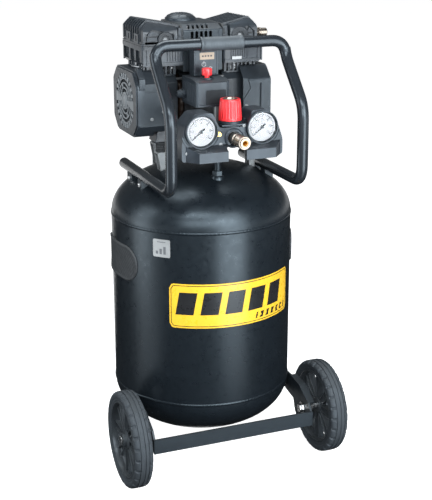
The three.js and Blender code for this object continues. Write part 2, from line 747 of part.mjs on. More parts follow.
// The pointer rests at the zero mark, low on the left of the dial.
const POINTER_REST = THREE.MathUtils.degToRad(-130);

function gaugeNeedle(x) {
  const geometry = prism('y', [[-1.4, -7], [1.4, -7], [0.5, 21], [-0.5, 21]], -173, -172.2);
  const pointer = geometry.rotateY(POINTER_REST).translate(x, 0, GAUGE_Z);
  return join(pointer, rod('y', [x, GAUGE_Z], 3, -173.6, -171.5, 12));
}

for (const side of ['right', 'left']) {
  add(`gauge_case_${side}`, gaugeCase(GAUGE_X[side]), paint.white);
  add(`gauge_needle_${side}`, gaugeNeedle(GAUGE_X[side]), paint.plastic);
}

// ---------------------------------------------------------------- regulator

const REGULATOR = { low: 665, high: 694, neckR: 13.5, neckTop: 705 };
const SWITCH = { x: [-51, 16], y: [-110, -32], z: [727, 777] };

function regulatorBody() {
  const { low, high, neckR, neckTop } = REGULATOR;
  const manifold = block([-30, 17], [-160, -80], [low, high]);
  const neck = rod('z', [0, KNOB_Y], neckR, high - 1, neckTop, 20);
  const nipple = rod('z', PORT.riser.at, 8, high - 1, SWITCH.z[0] - GAP, 16);
  return join(manifold, neck, nipple);
}

// A red knob over the spindle: hollow below, with a round well in its top.
function regulatorKnob() {
  const profile = [
    [17.5, 709.3], [23.4, 709.3], [23.4, 714], [20.4, 747], [19.4, 748], [13.5, 748],
    [12, 738], [5.4, 738], [5.4, 730], [17.5, 728], [17.5, 709.3],
  ];
  return turned('z', [0, KNOB_Y], profile, 20);
}

add('regulator_body', regulatorBody(), paint.bare);
add('regulator_collar', ring('z', [0, KNOB_Y], REGULATOR.neckR + GAP, 21, 698.4, 708.6), paint.plastic);
add('regulator_spindle', rod('z', [0, KNOB_Y], 5, REGULATOR.neckTop + GAP, 737, 16), paint.brass);
add('regulator_knob', regulatorKnob(), paint.red);

// ---------------------------------------------------------------- outlet coupler

const COUPLER = {
  rear: -160.3, shoulder: -173, seat: -187, front: -222, stemR: 9.6, shoulderR: 11.4, plugR: 5,
};

function couplerBody() {
  const { rear, shoulder, seat, front, stemR, shoulderR, plugR } = COUPLER;
  const profile = [
    [0, rear], [stemR, rear], [stemR, shoulder + 2], [shoulderR, shoulder], [shoulderR, seat + 1],
    [stemR, seat], [stemR, front], [plugR, front], [plugR, seat - 1], [0, seat - 1],
  ];
  return turned('y', [0, COUPLER_Z], profile, 20);
}

function couplerSleeve() {
  const { seat, front, stemR } = COUPLER;
  return ring('y', [0, COUPLER_Z], stemR + GAP, stemR + 2.6, front + 3, seat - 4, 20);
}

add('coupler_body', couplerBody(), paint.brass);
add('coupler_sleeve', couplerSleeve(), paint.bare);

// ---------------------------------------------------------------- safety valve and riser pipe

const SAFETY = { at: [-21, -136], radius: 7.6, low: 648, ringZ: 634.2, ringIn: 6, ringOut: 8.2, stemR: 1.8 };

function safetyValveBody() {
  const { at, radius, low, stemR } = SAFETY;
  const body = prism('z', circle(at, radius, 6), low, REGULATOR.low - GAP);
  return cut(body, rod('z', at, stemR + 0.6, low - 2, low + 14, 12));
}

// Pull ring on its stem; the stem lifts the seat when the ring is pulled down.
function safetyValveRing() {
  const { at, low, ringZ, ringIn, ringOut, stemR } = SAFETY;
  const loop = ring('x', [at[1], ringZ], ringIn, ringOut, at[0] - 1, at[0] + 1, 16);
  return join(loop, rod('z', at, stemR, ringZ + ringIn + 0.8, low + 10, 10));
}

function riserPipe() {
  const { at, radius } = PORT.riser;
  return rod('z', at, radius, domeTop(-at[1]) - 10, REGULATOR.low - GAP, 16);
}

add('safety_valve_body', safetyValveBody(), paint.brass);
add('safety_valve_ring', safetyValveRing(), paint.bare);
add('riser_pipe', riserPipe(), paint.steel);

// ---------------------------------------------------------------- pressure switch

const HOOD = { x: [-36, 13], y: [-60, -34], high: 830, edge: 4 }; // the cover over the switch's contacts
const BUTTON = [-20, -85];
const GLAND = [-50, 745]; // y and z of the cable gland's axis

function switchBase() {
  const { x, y, z } = SWITCH;
  const box = prism('z', chamfered(x, y, 4), ...z);
  return cut(box, rod('z', BUTTON, 5.6, 755, 780, 14));
}

function switchCover() {
  const { x, y: [front, back], high, edge } = HOOD;
  const low = SWITCH.z[1] + GAP;
  const section = [[front, low], [front, high - edge], [front + edge, high], [back, high], [back, low]];
  return prism('x', section, ...x);
}

function switchButton() {
  const profile = [[0, 762], [5, 762], [5, 783], [9, 783], [9.6, 786], [9.6, 794], [8.6, 796], [0, 796]];
  return turned('z', BUTTON, profile, 20);
}

function cableGland() {
  const start = SWITCH.x[0] - GAP;
  const nut = prism('x', circle(GLAND, 10, 6), start - 6, start);
  const profile = [[0, start - 5], [8, start - 5], [8, start - 11], [5, start - 16], [0, start - 16]];
  const dome = turned('x', GLAND, profile, 14);
  return cut(join(nut, dome), rod('x', GLAND, 3.5, start - 20, start - 4, 10));
}

add('switch_base', switchBase(), paint.plastic);
add('switch_cover', switchCover(), paint.plastic);
add('switch_button', switchButton(), paint.red);
add('cable_gland', cableGland(), paint.plastic);

export default group;
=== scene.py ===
# The looks of a two-wheeled upright air compressor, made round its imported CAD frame.
# Shapes are drawn in millimetres in the tank's own frame: the origin is on the floor under the
# tank's axis, +Z is up and -Y is the side with the gauges. They are stored in metres in the row frame.
import math

import bmesh
import bpy
from mathutils import Matrix, Vector
from mathutils.geometry import tessellate_polygon


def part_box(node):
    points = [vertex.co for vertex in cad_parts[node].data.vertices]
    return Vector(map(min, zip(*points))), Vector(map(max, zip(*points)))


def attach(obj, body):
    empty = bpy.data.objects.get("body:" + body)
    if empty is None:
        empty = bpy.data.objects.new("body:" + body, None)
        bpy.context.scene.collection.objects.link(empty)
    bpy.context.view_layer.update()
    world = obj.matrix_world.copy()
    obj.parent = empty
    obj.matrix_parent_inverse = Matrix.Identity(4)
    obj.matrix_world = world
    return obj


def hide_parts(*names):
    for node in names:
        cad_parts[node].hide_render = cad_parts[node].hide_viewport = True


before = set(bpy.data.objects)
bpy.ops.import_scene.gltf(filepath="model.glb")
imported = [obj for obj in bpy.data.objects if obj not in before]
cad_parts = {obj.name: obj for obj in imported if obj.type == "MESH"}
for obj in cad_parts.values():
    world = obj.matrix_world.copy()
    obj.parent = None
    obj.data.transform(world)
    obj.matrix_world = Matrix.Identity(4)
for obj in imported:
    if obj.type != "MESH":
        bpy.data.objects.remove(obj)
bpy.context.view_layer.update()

MM = 0.001

# ---------------------------------------------------------------- places taken from the frame

barrel_low, barrel_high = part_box("tank_barrel")
AXIS = Vector(((barrel_low.x + barrel_high.x) / 2, (barrel_low.y + barrel_high.y) / 2, 0))


def extent(node):
    """A node's limits along X, Y and Z, in millimetres in the tank's frame."""
    low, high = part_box(node)
    return [((low[i] - AXIS[i]) / MM, (high[i] - AXIS[i]) / MM) for i in range(3)]


def middle(node):
    return [(low + high) / 2 for low, high in extent(node)]


def to_row(point):
    return AXIS + MM * Vector(point)


# ---------------------------------------------------------------- shapes: (corners, faces)

PLACE = {
    "x": lambda u, v, along: (along, u, v),
    "y": lambda u, v, along: (u, along, v),
    "z": lambda u, v, along: (u, v, along),
}
X, Y, Z = "x", "y", "z"


def join(*shapes):
    corners, faces = [], []
    for more_corners, more_faces in shapes:
        start = len(corners)
        corners += more_corners
        faces += [tuple(i + start for i in face) for face in more_faces]
    return corners, faces


def changed(shape, matrix):
    corners, faces = shape
    return [tuple(matrix @ Vector(corner)) for corner in corners], faces


def moved(shape, x=0, y=0, z=0):
    return changed(shape, Matrix.Translation((x, y, z)))


def spun(shape, degrees, axis, centre=(0, 0, 0)):
    there = Matrix.Translation(centre)
    turn = Matrix.Rotation(math.radians(degrees), 4, axis.upper())
    return changed(shape, there @ turn @ there.inverted())


def mirrored(shape):
    return changed(shape, Matrix.Scale(-1, 4, (1, 0, 0)))


def as_drawn(shape):
    return shape


# Paired pieces are drawn for the +X side, and the left one is the right one's mirror image.
SIDES = {"right": as_drawn, "left": mirrored}


def surface(point, across, around, closed_across=False, closed_around=False):
    """A grid of faces through point(u, v), with u and v from 0 to 1."""
    rows = across if closed_across else across + 1
    columns = around if closed_around else around + 1
    corners = [tuple(point(i / across, j / around)) for i in range(rows) for j in range(columns)]
    faces = []
    for i in range(across):
        for j in range(around):
            a, b = i * columns, ((i + 1) % rows) * columns
            c, d = j, (j + 1) % columns
            faces.append((a + c, b + c, b + d, a + d))
    return corners, faces


def turned(axis, centre, profile, sides=48):
    """A profile of (radius, place along the axis) turned round an axis."""
    place = PLACE[axis]
    corners, faces = [], []
    for radius, along in profile:
        for j in range(sides):
            angle = 2 * math.pi * j / sides
            u = centre[0] + radius * math.cos(angle)
            v = centre[1] + radius * math.sin(angle)
            corners.append(place(u, v, along))
    for i in range(len(profile) - 1):
        for j in range(sides):
            k = (j + 1) % sides
            faces.append((i * sides + j, (i + 1) * sides + j, (i + 1) * sides + k, i * sides + k))
    return corners, faces


def rod(axis, centre, radius, low, high, sides=32):
    return turned(axis, centre, [(0, low), (radius, low), (radius, high), (0, high)], sides)


def ring(axis, centre, inner, outer, low, high, sides=48):
    profile = [(inner, low), (outer, low), (outer, high), (inner, high), (inner, low)]
    return turned(axis, centre, profile, sides)


def prism(axis, outline, low, high, holes=()):
    """An outline, with holes in it if any, carried along an axis."""
    place = PLACE[axis]
    loops = [list(outline), *[list(hole) for hole in holes]]
    flat = [point for loop in loops for point in loop]
    count = len(flat)
    corners = [place(u, v, end) for end in (low, high) for u, v in flat]
    if holes:
        patches = tessellate_polygon([[Vector((u, v, 0)) for u, v in loop] for loop in loops])
    else:
        patches = [tuple(range(count))]
    faces = [tuple(patch) for patch in patches]
    faces += [tuple(i + count for i in reversed(patch)) for patch in patches]
    start = 0
    for loop in loops:
        for i in range(len(loop)):
            a, b = start + i, start + (i + 1) % len(loop)
            faces.append((a, b, b + count, a + count))
        start += len(loop)
    return corners, faces


def rectangle(u, v):
    return [(u[0], v[0]), (u[1], v[0]), (u[1], v[1]), (u[0], v[1])]


def block(x, y, z):
    return prism(Z, rectangle(x, y), *z)


def circle(centre, radius, sides, start=0):
    angles = [start + 2 * math.pi * i / sides for i in range(sides)]
    return [(centre[0] + radius * math.cos(a), centre[1] + radius * math.sin(a)) for a in angles]


def rounded(u, v, radius, steps=5):
    """A rectangle with round corners."""
    outline = []
    for sign_u, sign_v, first in ((1, 1, 0), (-1, 1, 90), (-1, -1, 180), (1, -1, 270)):
        centre_u = (u[1] - radius) if sign_u > 0 else (u[0] + radius)
        centre_v = (v[1] - radius) if sign_v > 0 else (v[0] + radius)
        for i in range(steps + 1):
            angle = math.radians(first + 90 * i / steps)
            outline.append((centre_u + radius * math.cos(angle), centre_v + radius * math.sin(angle)))
    return outline


def curve(start, corner, end, steps):
    """Points on the parabola that leaves start and reaches end, both towards the corner."""
    places = [k / steps for k in range(steps + 1)]
    return [start * (1 - t) ** 2 + corner * 2 * t * (1 - t) + end * t * t for t in places]


def softened(outline, radius, steps=4):
    """The outline with each corner rounded by a curve that starts a radius before it."""
    result = []
    for i, corner in enumerate(outline):
        corner = Vector(corner)
        before, after = Vector(outline[i - 1]), Vector(outline[(i + 1) % len(outline)])
        cut_in = min(radius, (before - corner).length * 0.45)
        cut_out = min(radius, (after - corner).length * 0.45)
        start = corner + (before - corner).normalized() * cut_in
        end = corner + (after - corner).normalized() * cut_out
        result += [tuple(point) for point in curve(start, corner, end, steps)]
    return result


def hexagon(axis, centre, radius, low, high, edge=0.8):
    """A hexagonal nut or bolt head, its outer end chamfered by the edge."""
    place = PLACE[axis]
    shoulder = high - math.copysign(edge, high - low)
    corners = []
    for size, along in ((radius, low), (radius, shoulder), (radius - edge, high)):
        corners += [place(u, v, along) for u, v in circle(centre, size, 6)]
    faces = [tuple(range(6)), tuple(range(12, 18))]
    for level in (0, 6):
        faces += [
            (level + i, level + (i + 1) % 6, level + 6 + (i + 1) % 6, level + 6 + i)
            for i in range(6)
        ]
    return corners, faces


def bent_path(corners, steps=10):
    """Straight runs between the corners, each corner rounded from its own setback."""
    points = [Vector(corners[0][0])]
    for (before, _), (corner, setback), (after, _) in zip(corners, corners[1:], corners[2:]):
        corner = Vector(corner)
        start = corner + (Vector(before) - corner).normalized() * setback
        end = corner + (Vector(after) - corner).normalized() * setback
        points += curve(start, corner, end, steps)
    return [*points, Vector(corners[-1][0])]


def swept(points, radius, sides=24, cap=0.0):
    """A tube along the points, its ends flat or domed by the cap's length."""
    last = len(points) - 1
    ahead = [(points[min(i + 1, last)] - points[max(i - 1, 0)]).normalized() for i in range(last + 1)]
    stations = [(points[0], ahead[0], 0.0)]
    dome = [(math.sin(math.pi / 2 * i / 4), math.cos(math.pi / 2 * i / 4)) for i in range(4)]
    if cap:
        stations = [(points[0] - ahead[0] * cap, ahead[0], 0.0)]
        stations += [
            (points[0] - ahead[0] * cap * out, ahead[0], radius * size)
            for out, size in reversed(dome)
        ]
    stations += [(point, way, radius) for point, way in zip(points, ahead)]
    if cap:
        stations += [(points[-1] + ahead[-1] * cap * out, ahead[-1], radius * size) for out, size in dome]
    stations.append((points[-1] + ahead[-1] * cap, ahead[-1], 0.0))
    normal = ahead[0].orthogonal().normalized()
    corners, faces = [], []
    for point, way, size in stations:
        normal = (normal - way * normal.dot(way)).normalized()
        side = way.cross(normal)
        for j in range(sides):
            angle = 2 * math.pi * j / sides
            corners.append(tuple(point + (normal * math.cos(angle) + side * math.sin(angle)) * size))
    for i in range(len(stations) - 1):
        for j in range(sides):
            k = (j + 1) % sides
            faces.append((i * sides + j, i * sides + k, (i + 1) * sides + k, (i + 1) * sides + j))
    return corners, faces


# ---------------------------------------------------------------- meshes and pieces

WELD = 2e-6


def clean_mesh(name, shape, place, merge):
    """A mesh of the shape with near corners welded and its faces turned outward."""
    corners, faces = shape
    mesh = bpy.data.meshes.new(name)
    mesh.from_pydata([place(corner) for corner in corners], [], faces)
    shell = bmesh.new()
    shell.from_mesh(mesh)
    bmesh.ops.remove_doubles(shell, verts=shell.verts, dist=merge)
    bmesh.ops.dissolve_degenerate(shell, edges=shell.edges, dist=merge)
    bmesh.ops.recalc_face_normals(shell, faces=shell.faces)
    shell.to_mesh(mesh)
    shell.free()
    return mesh


def carved(shape, *tools, operation="DIFFERENCE"):
    """The shape with the tools cut out of it, or joined to it."""
    made = []
    for part in (shape, join(*tools)):
        mesh = clean_mesh("working", part, Vector, 1e-3)
        made.append(bpy.data.objects.new("working", mesh))
        bpy.context.scene.collection.objects.link(made[-1])
    change = made[0].modifiers.new("cut", "BOOLEAN")
    change.operation = operation
    change.solver = "EXACT"
    change.use_self = True
    change.object = made[1]
    bpy.context.view_layer.update()
    result = bpy.data.meshes.new_from_object(made[0].evaluated_get(bpy.context.evaluated_depsgraph_get()))
    corners = [tuple(vertex.co) for vertex in result.vertices]
    faces = [tuple(polygon.vertices) for polygon in result.polygons]
    for leftover in made:
        bpy.data.objects.remove(leftover)
    bpy.data.meshes.remove(result)
    return corners, faces


def soften_edges(obj, width):
    """Rounds the edges by a width in millimetres, for the light to catch."""
    bevel = obj.modifiers.new("edges", "BEVEL")
    bevel.width = width * MM
    bevel.segments = 2
    bevel.limit_method = "ANGLE"
    bevel.angle_limit = math.radians(38)
    bevel.use_clamp_overlap = True
    bevel.harden_normals = True


def piece(name, shape, look, body="frame", replaces=(), edge=0.0, smooth=35):
    """A visible piece that rides on a body, in place of the CAD nodes that it replaces."""
    mesh = clean_mesh(name, shape, to_row, WELD)
    mesh.materials.append(looks[look])
    mesh.shade_smooth()
    mesh.set_sharp_from_angle(angle=math.radians(smooth))
    obj = bpy.data.objects.new(name, mesh)
    bpy.context.scene.collection.objects.link(obj)
    if edge:
        soften_edges(obj, edge)
    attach(obj, body)
    if replaces:
        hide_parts(*replaces)
    return obj


def refinish(node, look, edge=0.6):
    """Gives a CAD node that stays its material, welded corners and soft edges."""
    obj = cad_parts[node]
    obj.data.materials.clear()
    obj.data.materials.append(looks[look])
    weld = obj.modifiers.new("weld", "WELD")
    weld.merge_threshold = WELD
    if edge:
        soften_edges(obj, edge)


# ---------------------------------------------------------------- materials

looks = {}


def add_node(tree, kind, values=None, **settings):
    """A shader node with its settings, and values or links for its inputs."""
    made = tree.nodes.new(kind)
    for key, value in settings.items():
        setattr(made, key, value)
    for key, value in (values or {}).items():
        if isinstance(value, bpy.types.NodeSocket):
            tree.links.new(value, made.inputs[key])
        else:
            made.inputs[key].default_value = value
    return made


def principled(look):
    return look.node_tree.nodes["Principled BSDF"]


def glow(look, strength):
    """Gives a look white light of its own."""
    principled(look).inputs["Emission Color"].default_value = (1, 1, 1, 1)
    principled(look).inputs["Emission Strength"].default_value = strength


def shade(colour, factor):
    return (*[min(1, channel * factor) for channel in colour], 1)


def noise(tree, where, scale, detail=4.0, roughness=0.5):
    values = {"Vector": where, "Scale": scale, "Detail": detail, "Roughness": roughness}
    return add_node(tree, "ShaderNodeTexNoise", values).outputs["Fac"]


def ranged(tree, value, low, high, from_low=0.3, from_high=0.7):
    values = {"Value": value, "From Min": from_low, "From Max": from_high, "To Min": low, "To Max": high}
    return add_node(tree, "ShaderNodeMapRange", values).outputs["Result"]


def blended(tree, factor, first, second):
    """Two colours, or sockets, mixed by a factor."""
    mix = add_node(tree, "ShaderNodeMix", data_type="RGBA")
    for index, value in ((0, factor), (6, first), (7, second)):
        if isinstance(value, bpy.types.NodeSocket):
            tree.links.new(value, mix.inputs[index])
        else:
            mix.inputs[index].default_value = value
    return mix.outputs[2]


def finish(
    name, colour, roughness, metallic=0.0, mottle=0.2, mottle_scale=45, grain_scale=1400, grain=0.15,
    grain_depth=0.15, gloss_change=0.06, edge_wear_and_highlight=0.0, dust=0.0, coat=0.0, tint=(0.8, 0.91, 1),
    stretch=(1, 1, 1),
):
    """A material whose colour drifts, whose gloss varies and whose surface has a fine grain."""
    material = bpy.data.materials.new(name)
    material.use_nodes = True
    tree = material.node_tree
    shader = principled(material)
    shader.inputs["Metallic"].default_value = metallic
    shader.inputs["Coat Weight"].default_value = coat
    shader.inputs["Coat Roughness"].default_value = 0.15
    shader.inputs["IOR"].default_value = 1.5
    if not metallic:
        shader.inputs["Specular Tint"].default_value = (*tint, 1)
    where = add_node(tree, "ShaderNodeTexCoord").outputs["Object"]
    along = add_node(tree, "ShaderNodeMapping", {"Vector": where, "Scale": stretch}).outputs["Vector"]
    drift = ranged(tree, noise(tree, along, mottle_scale, 5, 0.6), 0, 1)
    surface_colour = blended(tree, drift, shade(colour, 1 - mottle), shade(colour, 1 + mottle))
    # Pointiness lightens the sharp edges: partly rubbed wear, partly a painted highlight.
    if edge_wear_and_highlight:
        edges = add_node(tree, "ShaderNodeNewGeometry").outputs["Pointiness"]
        edge_wear_and_highlight_mask = ranged(tree, edges, 0, edge_wear_and_highlight, 0.52, 0.6)
        surface_colour = blended(tree, edge_wear_and_highlight_mask, surface_colour, shade(colour, 3.2))
    if dust:
        upward = add_node(tree, "ShaderNodeNewGeometry").outputs["Normal"]
        lift = add_node(tree, "ShaderNodeSeparateXYZ", {"Vector": upward}).outputs["Z"]
        settled = ranged(tree, lift, 0, dust, 0.3, 1.0)
        surface_colour = blended(tree, settled, surface_colour, (0.32, 0.31, 0.29, 1))
    tree.links.new(surface_colour, shader.inputs["Base Color"])
    gloss = noise(tree, along, mottle_scale * 2.3, 4, 0.6)
    tree.links.new(
        ranged(tree, gloss, roughness - gloss_change, roughness + gloss_change), shader.inputs["Roughness"]
    )
    height = noise(tree, along, grain_scale, 3, 0.55)
    values = {"Height": height, "Strength": grain, "Distance": grain_depth * MM}
    tree.links.new(add_node(tree, "ShaderNodeBump", values).outputs["Normal"], shader.inputs["Normal"])
    looks[name] = material
    return material


finish(
    "tank_paint", (0.006, 0.0085, 0.0115), 0.32, mottle=0.12, grain_scale=520, grain=0.14, grain_depth=0.12,
    tint=(0.72, 0.88, 1),
)
finish("steel_paint", (0.012, 0.016, 0.020), 0.42, grain_scale=900, grain=0.25, edge_wear_and_highlight=0.25, dust=0.03)
finish(
    "handle_paint", (0.014, 0.017, 0.021), 0.24, mottle=0.06, gloss_change=0.02, grain_scale=900,
    grain=0.03, tint=(0.78, 0.9, 1),
)
finish("black_plastic", (0.014, 0.018, 0.023), 0.36, grain_scale=2200, grain=0.3, edge_wear_and_highlight=0.4, dust=0.03)
finish(
    "cast_aluminium", (0.018, 0.023, 0.029), 0.36, 0.15, grain_scale=700, grain=0.5, grain_depth=0.3,
    edge_wear_and_highlight=0.5, dust=0.03,
)
finish(
    "motor_steel", (0.020, 0.023, 0.027), 0.5, 0.3, mottle=0.3, stretch=(6, 1, 1), grain_scale=900,
    grain=0.3,
)
finish("piston_alloy", (0.62, 0.63, 0.64), 0.3, 1.0)
finish("rubber", (0.030, 0.031, 0.033), 0.72, grain_scale=1800, grain=0.5, dust=0.06)
finish("tyre_rubber", (0.034, 0.040, 0.047), 0.72, mottle=0.15, grain_scale=1500, grain=0.45, dust=0.04)
finish("wheel_plastic", (0.038, 0.044, 0.050), 0.34, grain_scale=2000, grain=0.3, edge_wear_and_highlight=0.2, dust=0.04)
# A light grey copy of the dark plastic, for the fan guards: a painted highlight.
finish("guard_plastic_painted_highlight", (0.15, 0.165, 0.178), 0.38, grain_scale=2000, grain=0.3, edge_wear_and_highlight=0.2, dust=0.04)
finish("panel_plastic", (0.015, 0.019, 0.025), 0.36, grain_scale=2200, grain=0.3, edge_wear_and_highlight=0.4, dust=0.03)
# A light grey. On the pump posts it is partly a painted highlight on their dark paint.
finish("rail_paint", (0.20, 0.21, 0.218), 0.42, grain_scale=900, grain=0.3, edge_wear_and_highlight=0.2, dust=0.03)
finish("grip_rubber", (0.060, 0.070, 0.080), 0.5, grain_scale=1800, grain=0.4, dust=0.05)
finish("bright_steel", (0.66, 0.67, 0.68), 0.24, 1.0, mottle=0.12, grain_scale=1200, grain=0.2)
finish("nickel", (0.31, 0.272, 0.232), 0.3, 1.0, mottle=0.1, grain_scale=1500, grain=0.12)
finish("brass", (0.70, 0.49, 0.20), 0.26, 1.0, mottle=0.18, grain_scale=1200, grain=0.15)
finish("pipe_aluminium", (0.70, 0.71, 0.72), 0.34, 1.0, mottle=0.12, grain_scale=1000, grain=0.2)
finish("zinc_casting", (0.13, 0.135, 0.14), 0.4, 0.7, grain_scale=800, grain=0.45)
finish("red_plastic", (0.72, 0.028, 0.032), 0.34, mottle=0.1, grain_scale=2000, grain=0.2, coat=0.15)
finish("dial_white", (0.33, 0.335, 0.35), 0.55, mottle=0.03, grain_scale=3000, grain=0.05)
finish("needle_black", (0.012, 0.012, 0.013), 0.4, grain_scale=2500, grain=0.1)
# Near black, for parts that sit in the shade inside others: painted shade.
finish("painted_shade_black", (0.006, 0.006, 0.007), 0.7)
finish("liner_alloy", (0.42, 0.44, 0.46), 0.38, 0.8, mottle=0.25, grain_scale=900, grain=0.4)
finish("copper_winding", (0.020, 0.011, 0.007), 0.4, 0.3, mottle=0.3, grain_scale=700, grain=0.6)
finish("label_yellow", (0.80, 0.48, 0.032), 0.3, mottle=0.05, grain_scale=2500, grain=0.05)
finish("label_black", (0.014, 0.014, 0.015), 0.3, mottle=0.1, grain_scale=2500, grain=0.05)
finish("label_silver", (0.36, 0.375, 0.385), 0.40, 0.3, mottle=0.08, grain_scale=2500, grain=0.08)
finish("label_tan", (0.40, 0.30, 0.21), 0.4, mottle=0.06, grain_scale=2500, grain=0.05)
finish("mark_grey", (0.12, 0.125, 0.135), 0.5, mottle=0.1, grain_scale=2500, grain=0.05)


def lens_glass():
    """Clear moulded glass for the gauges."""
    look = finish("lens", (1, 1, 1), 0.04, mottle=0.01, gloss_change=0.01, grain_scale=300, grain=0.01)
    principled(look).inputs["Transmission Weight"].default_value = 1
    principled(look).inputs["IOR"].default_value = 1.12


lens_glass()

# ---------------------------------------------------------------- tank

TANK_R = extent("tank_barrel")[0][1]
TANK_LOW, TANK_HIGH = (round(z) for z in extent("tank_barrel")[2])
DOME_H = TANK_LOW - extent("tank_bottom_dome")[2][0]
DOME_POWER = 2.13

# The handle's tube: its radius, its half width, its foremost place and the height of its feet.
TUBE_R = 10.75
HANDLE_X, HANDLE_Y, FOOT_Z = 130, -190, 587


def dome_top(distance):
    """Height of the upper end's surface at a distance from the tank's axis."""
    return TANK_HIGH + DOME_H * (1 - min(1, distance / TANK_R) ** DOME_POWER) ** (1 / DOME_POWER)


def dome_arc(steps):
    angles = [math.pi / 2 * i / steps for i in range(steps + 1)]
    arc = [
        (TANK_R * math.cos(a) ** (2 / DOME_POWER), DOME_H * math.sin(a) ** (2 / DOME_POWER))
        for a in angles[:-1]
    ]
    return [*arc, (0, DOME_H)]


def weld_ring(height, radius, width, rise):
    """A bead laid round the tank in small overlapping ripples."""

    def point(u, v):
        turn, bead = 2 * math.pi * u, 2 * math.pi * v
        ripple = 1 + 0.12 * math.sin(150 * turn) + 0.06 * math.sin(11 * turn)
        r = radius + rise * ripple * math.cos(bead)
        z = height + width * math.sin(bead) + 0.25 * math.sin(7 * turn)
        return r * math.cos(turn), r * math.sin(turn), z

    return surface(point, 600, 8, True, True)


def weld_seam():
    """The barrel's own seam, straight up its back."""

    def point(u, v):
        bead = 2 * math.pi * v
        z = TANK_LOW + 4 + u * (TANK_HIGH - TANK_LOW - 8)
        rise = 1.2 * (1 + 0.15 * math.sin(z * 1.6))
        return 3 * math.sin(bead), TANK_R - 0.2 + rise * math.cos(bead), z

    return surface(point, 400, 8, False, True)


def tank():
    """The vessel's skin, its weld beads and the threaded bungs in its upper end."""
    arc = dome_arc(26)
    profile = [(r, TANK_LOW - h) for r, h in reversed(arc)] + [(r, TANK_HIGH + h) for r, h in arc]
    shell = turned(Z, (0, 0), profile, 144)
    replaced = ("tank_barrel", "tank_top_dome", "tank_bottom_dome")
    piece("tank_shell", shell, "tank_paint", replaces=replaced)
    welds = [weld_ring(height, TANK_R - 0.3, 3.2, 1.5) for height in (TANK_HIGH, TANK_LOW)]
    piece("tank_weld_beads", join(*welds, weld_seam()), "tank_paint", smooth=60)
    bungs = []
    for node in ("riser_pipe", "check_valve"):
        x, y, _ = middle(node)
        z = dome_top(math.hypot(x, y))
        profile = [(6, z - 12), (14, z - 12), (13, z + 1), (11, z + 3.5), (6, z + 3.5)]
        bungs.append(turned(Z, (x, y), profile, 40))
        bungs.append(hexagon(Z, (x, y), 10.5, z + 3, z + 13))
    piece("tank_bungs", join(*bungs), "tank_paint")


DAMPERS = [f"damper_{end}_{side}" for end in ("front", "back") for side in ("left", "right")]


def pump_posts():
    """Tapered posts welded to the upper end, one under each damper, each with a nut on its top plate."""
    shapes = []
    narrow, wide = 6, 11
    for node in DAMPERS:
        x, y, _ = middle(node)
        top, root = extent(node)[2][0] - 0.3, dome_top(math.hypot(x, y)) - 8
        half = [(narrow, root), (narrow, top - 30), (wide, top - 4), (wide, top)]
        section = [(x - u, z) for u, z in half] + [(x + u, z) for u, z in reversed(half)]
        post = prism(Y, softened(section, 3, 3), y - wide, y + wide)
        shapes.append(carved(post, block((x - 20, x + 20), (y - 7.5, y + 7.5), (root + 8, top - 4))))
        shapes.append(hexagon(Z, (x, y), 6, top - 4.5, top - 10))
    # The posts' light grey is partly a painted highlight.
    piece("pump_posts", join(*shapes), "rail_paint", edge=0.6)


def handle_saddles():
    """Two small welded brackets under each foot of the handle, each with a bolt on its outer face."""
    shapes, bolts = [], []
    outer = HANDLE_X + 9
    bolt_z = FOOT_Z - 17
    profile = [(0, outer - 0.6), (4.6, outer - 0.6), (4.6, outer + 1.6), (3, outer + 3.2), (0, outer + 3.6)]
    for y0, y1 in ((-42, -20), (18, 46)):
        bracket = block((HANDLE_X - 9, outer), (y0, y1), (dome_top(160) - 8, FOOT_Z - 4))
        bracket = carved(bracket, rod(Y, (HANDLE_X, FOOT_Z), 11, y0 - 5, y1 + 5, 48))
        shapes += [bracket, mirrored(bracket)]
        head = turned(X, ((y0 + y1) / 2, bolt_z), profile, 24)
        bolts += [head, mirrored(head)]
    piece("handle_saddles", join(*shapes), "steel_paint", edge=0.7)
    piece("saddle_bolts", join(*bolts), "bright_steel")


# ---------------------------------------------------------------- labels and side pads

def wrapped(across, up, thick, low=None, high=None, across_steps=40, up_steps=2, relief=None):
    """A skin on the barrel from arc lengths across[0] to across[1], measured from the front.
    low and high give its lower and upper edge at a place, and relief what is added to its thickness."""
    low = low or (lambda s: up[0])
    high = high or (lambda s: up[1])
    relief = relief or (lambda s, z: 0)

    def layer(inner):
        def point(u, v):
            s = across[0] + u * (across[1] - across[0])
            z = low(s) + v * (high(s) - low(s))
            radius = TANK_R + (0.04 if inner else thick + relief(s, z))
            angle = s / TANK_R
            return radius * math.sin(angle), -radius * math.cos(angle), z
        return point

    outer, inner = layer(False), layer(True)
    corners, faces = surface(outer, across_steps, up_steps)
    base, _ = surface(inner, across_steps, up_steps)
    count, columns = len(corners), up_steps + 1
    faces += [tuple(i + count for i in reversed(face)) for face in faces]
    border = [i * columns for i in range(across_steps)]
    border += [across_steps * columns + j for j in range(up_steps)]
    border += [i * columns + up_steps for i in range(across_steps, 0, -1)]
    border += list(range(up_steps, 0, -1))
    for i, a in enumerate(border):
        b = border[(i + 1) % len(border)]
        faces.append((a, b, b + count, a + count))
    return corners + base, faces


def rounded_edges(across, up, radius):
    """Lower and upper edges of a rectangle on the barrel whose corners are round."""

    def inset(s):
        reach = max(0, radius - min(s - across[0], across[1] - s))
        return radius - math.sqrt(max(0, radius * radius - reach * reach))

    return (lambda s: up[0] + inset(s)), (lambda s: up[1] - inset(s))


def plate(across, up, radius, thick, steps=64):
    low, high = rounded_edges(across, up, radius)
    return wrapped(across, up, thick, low, high, steps)


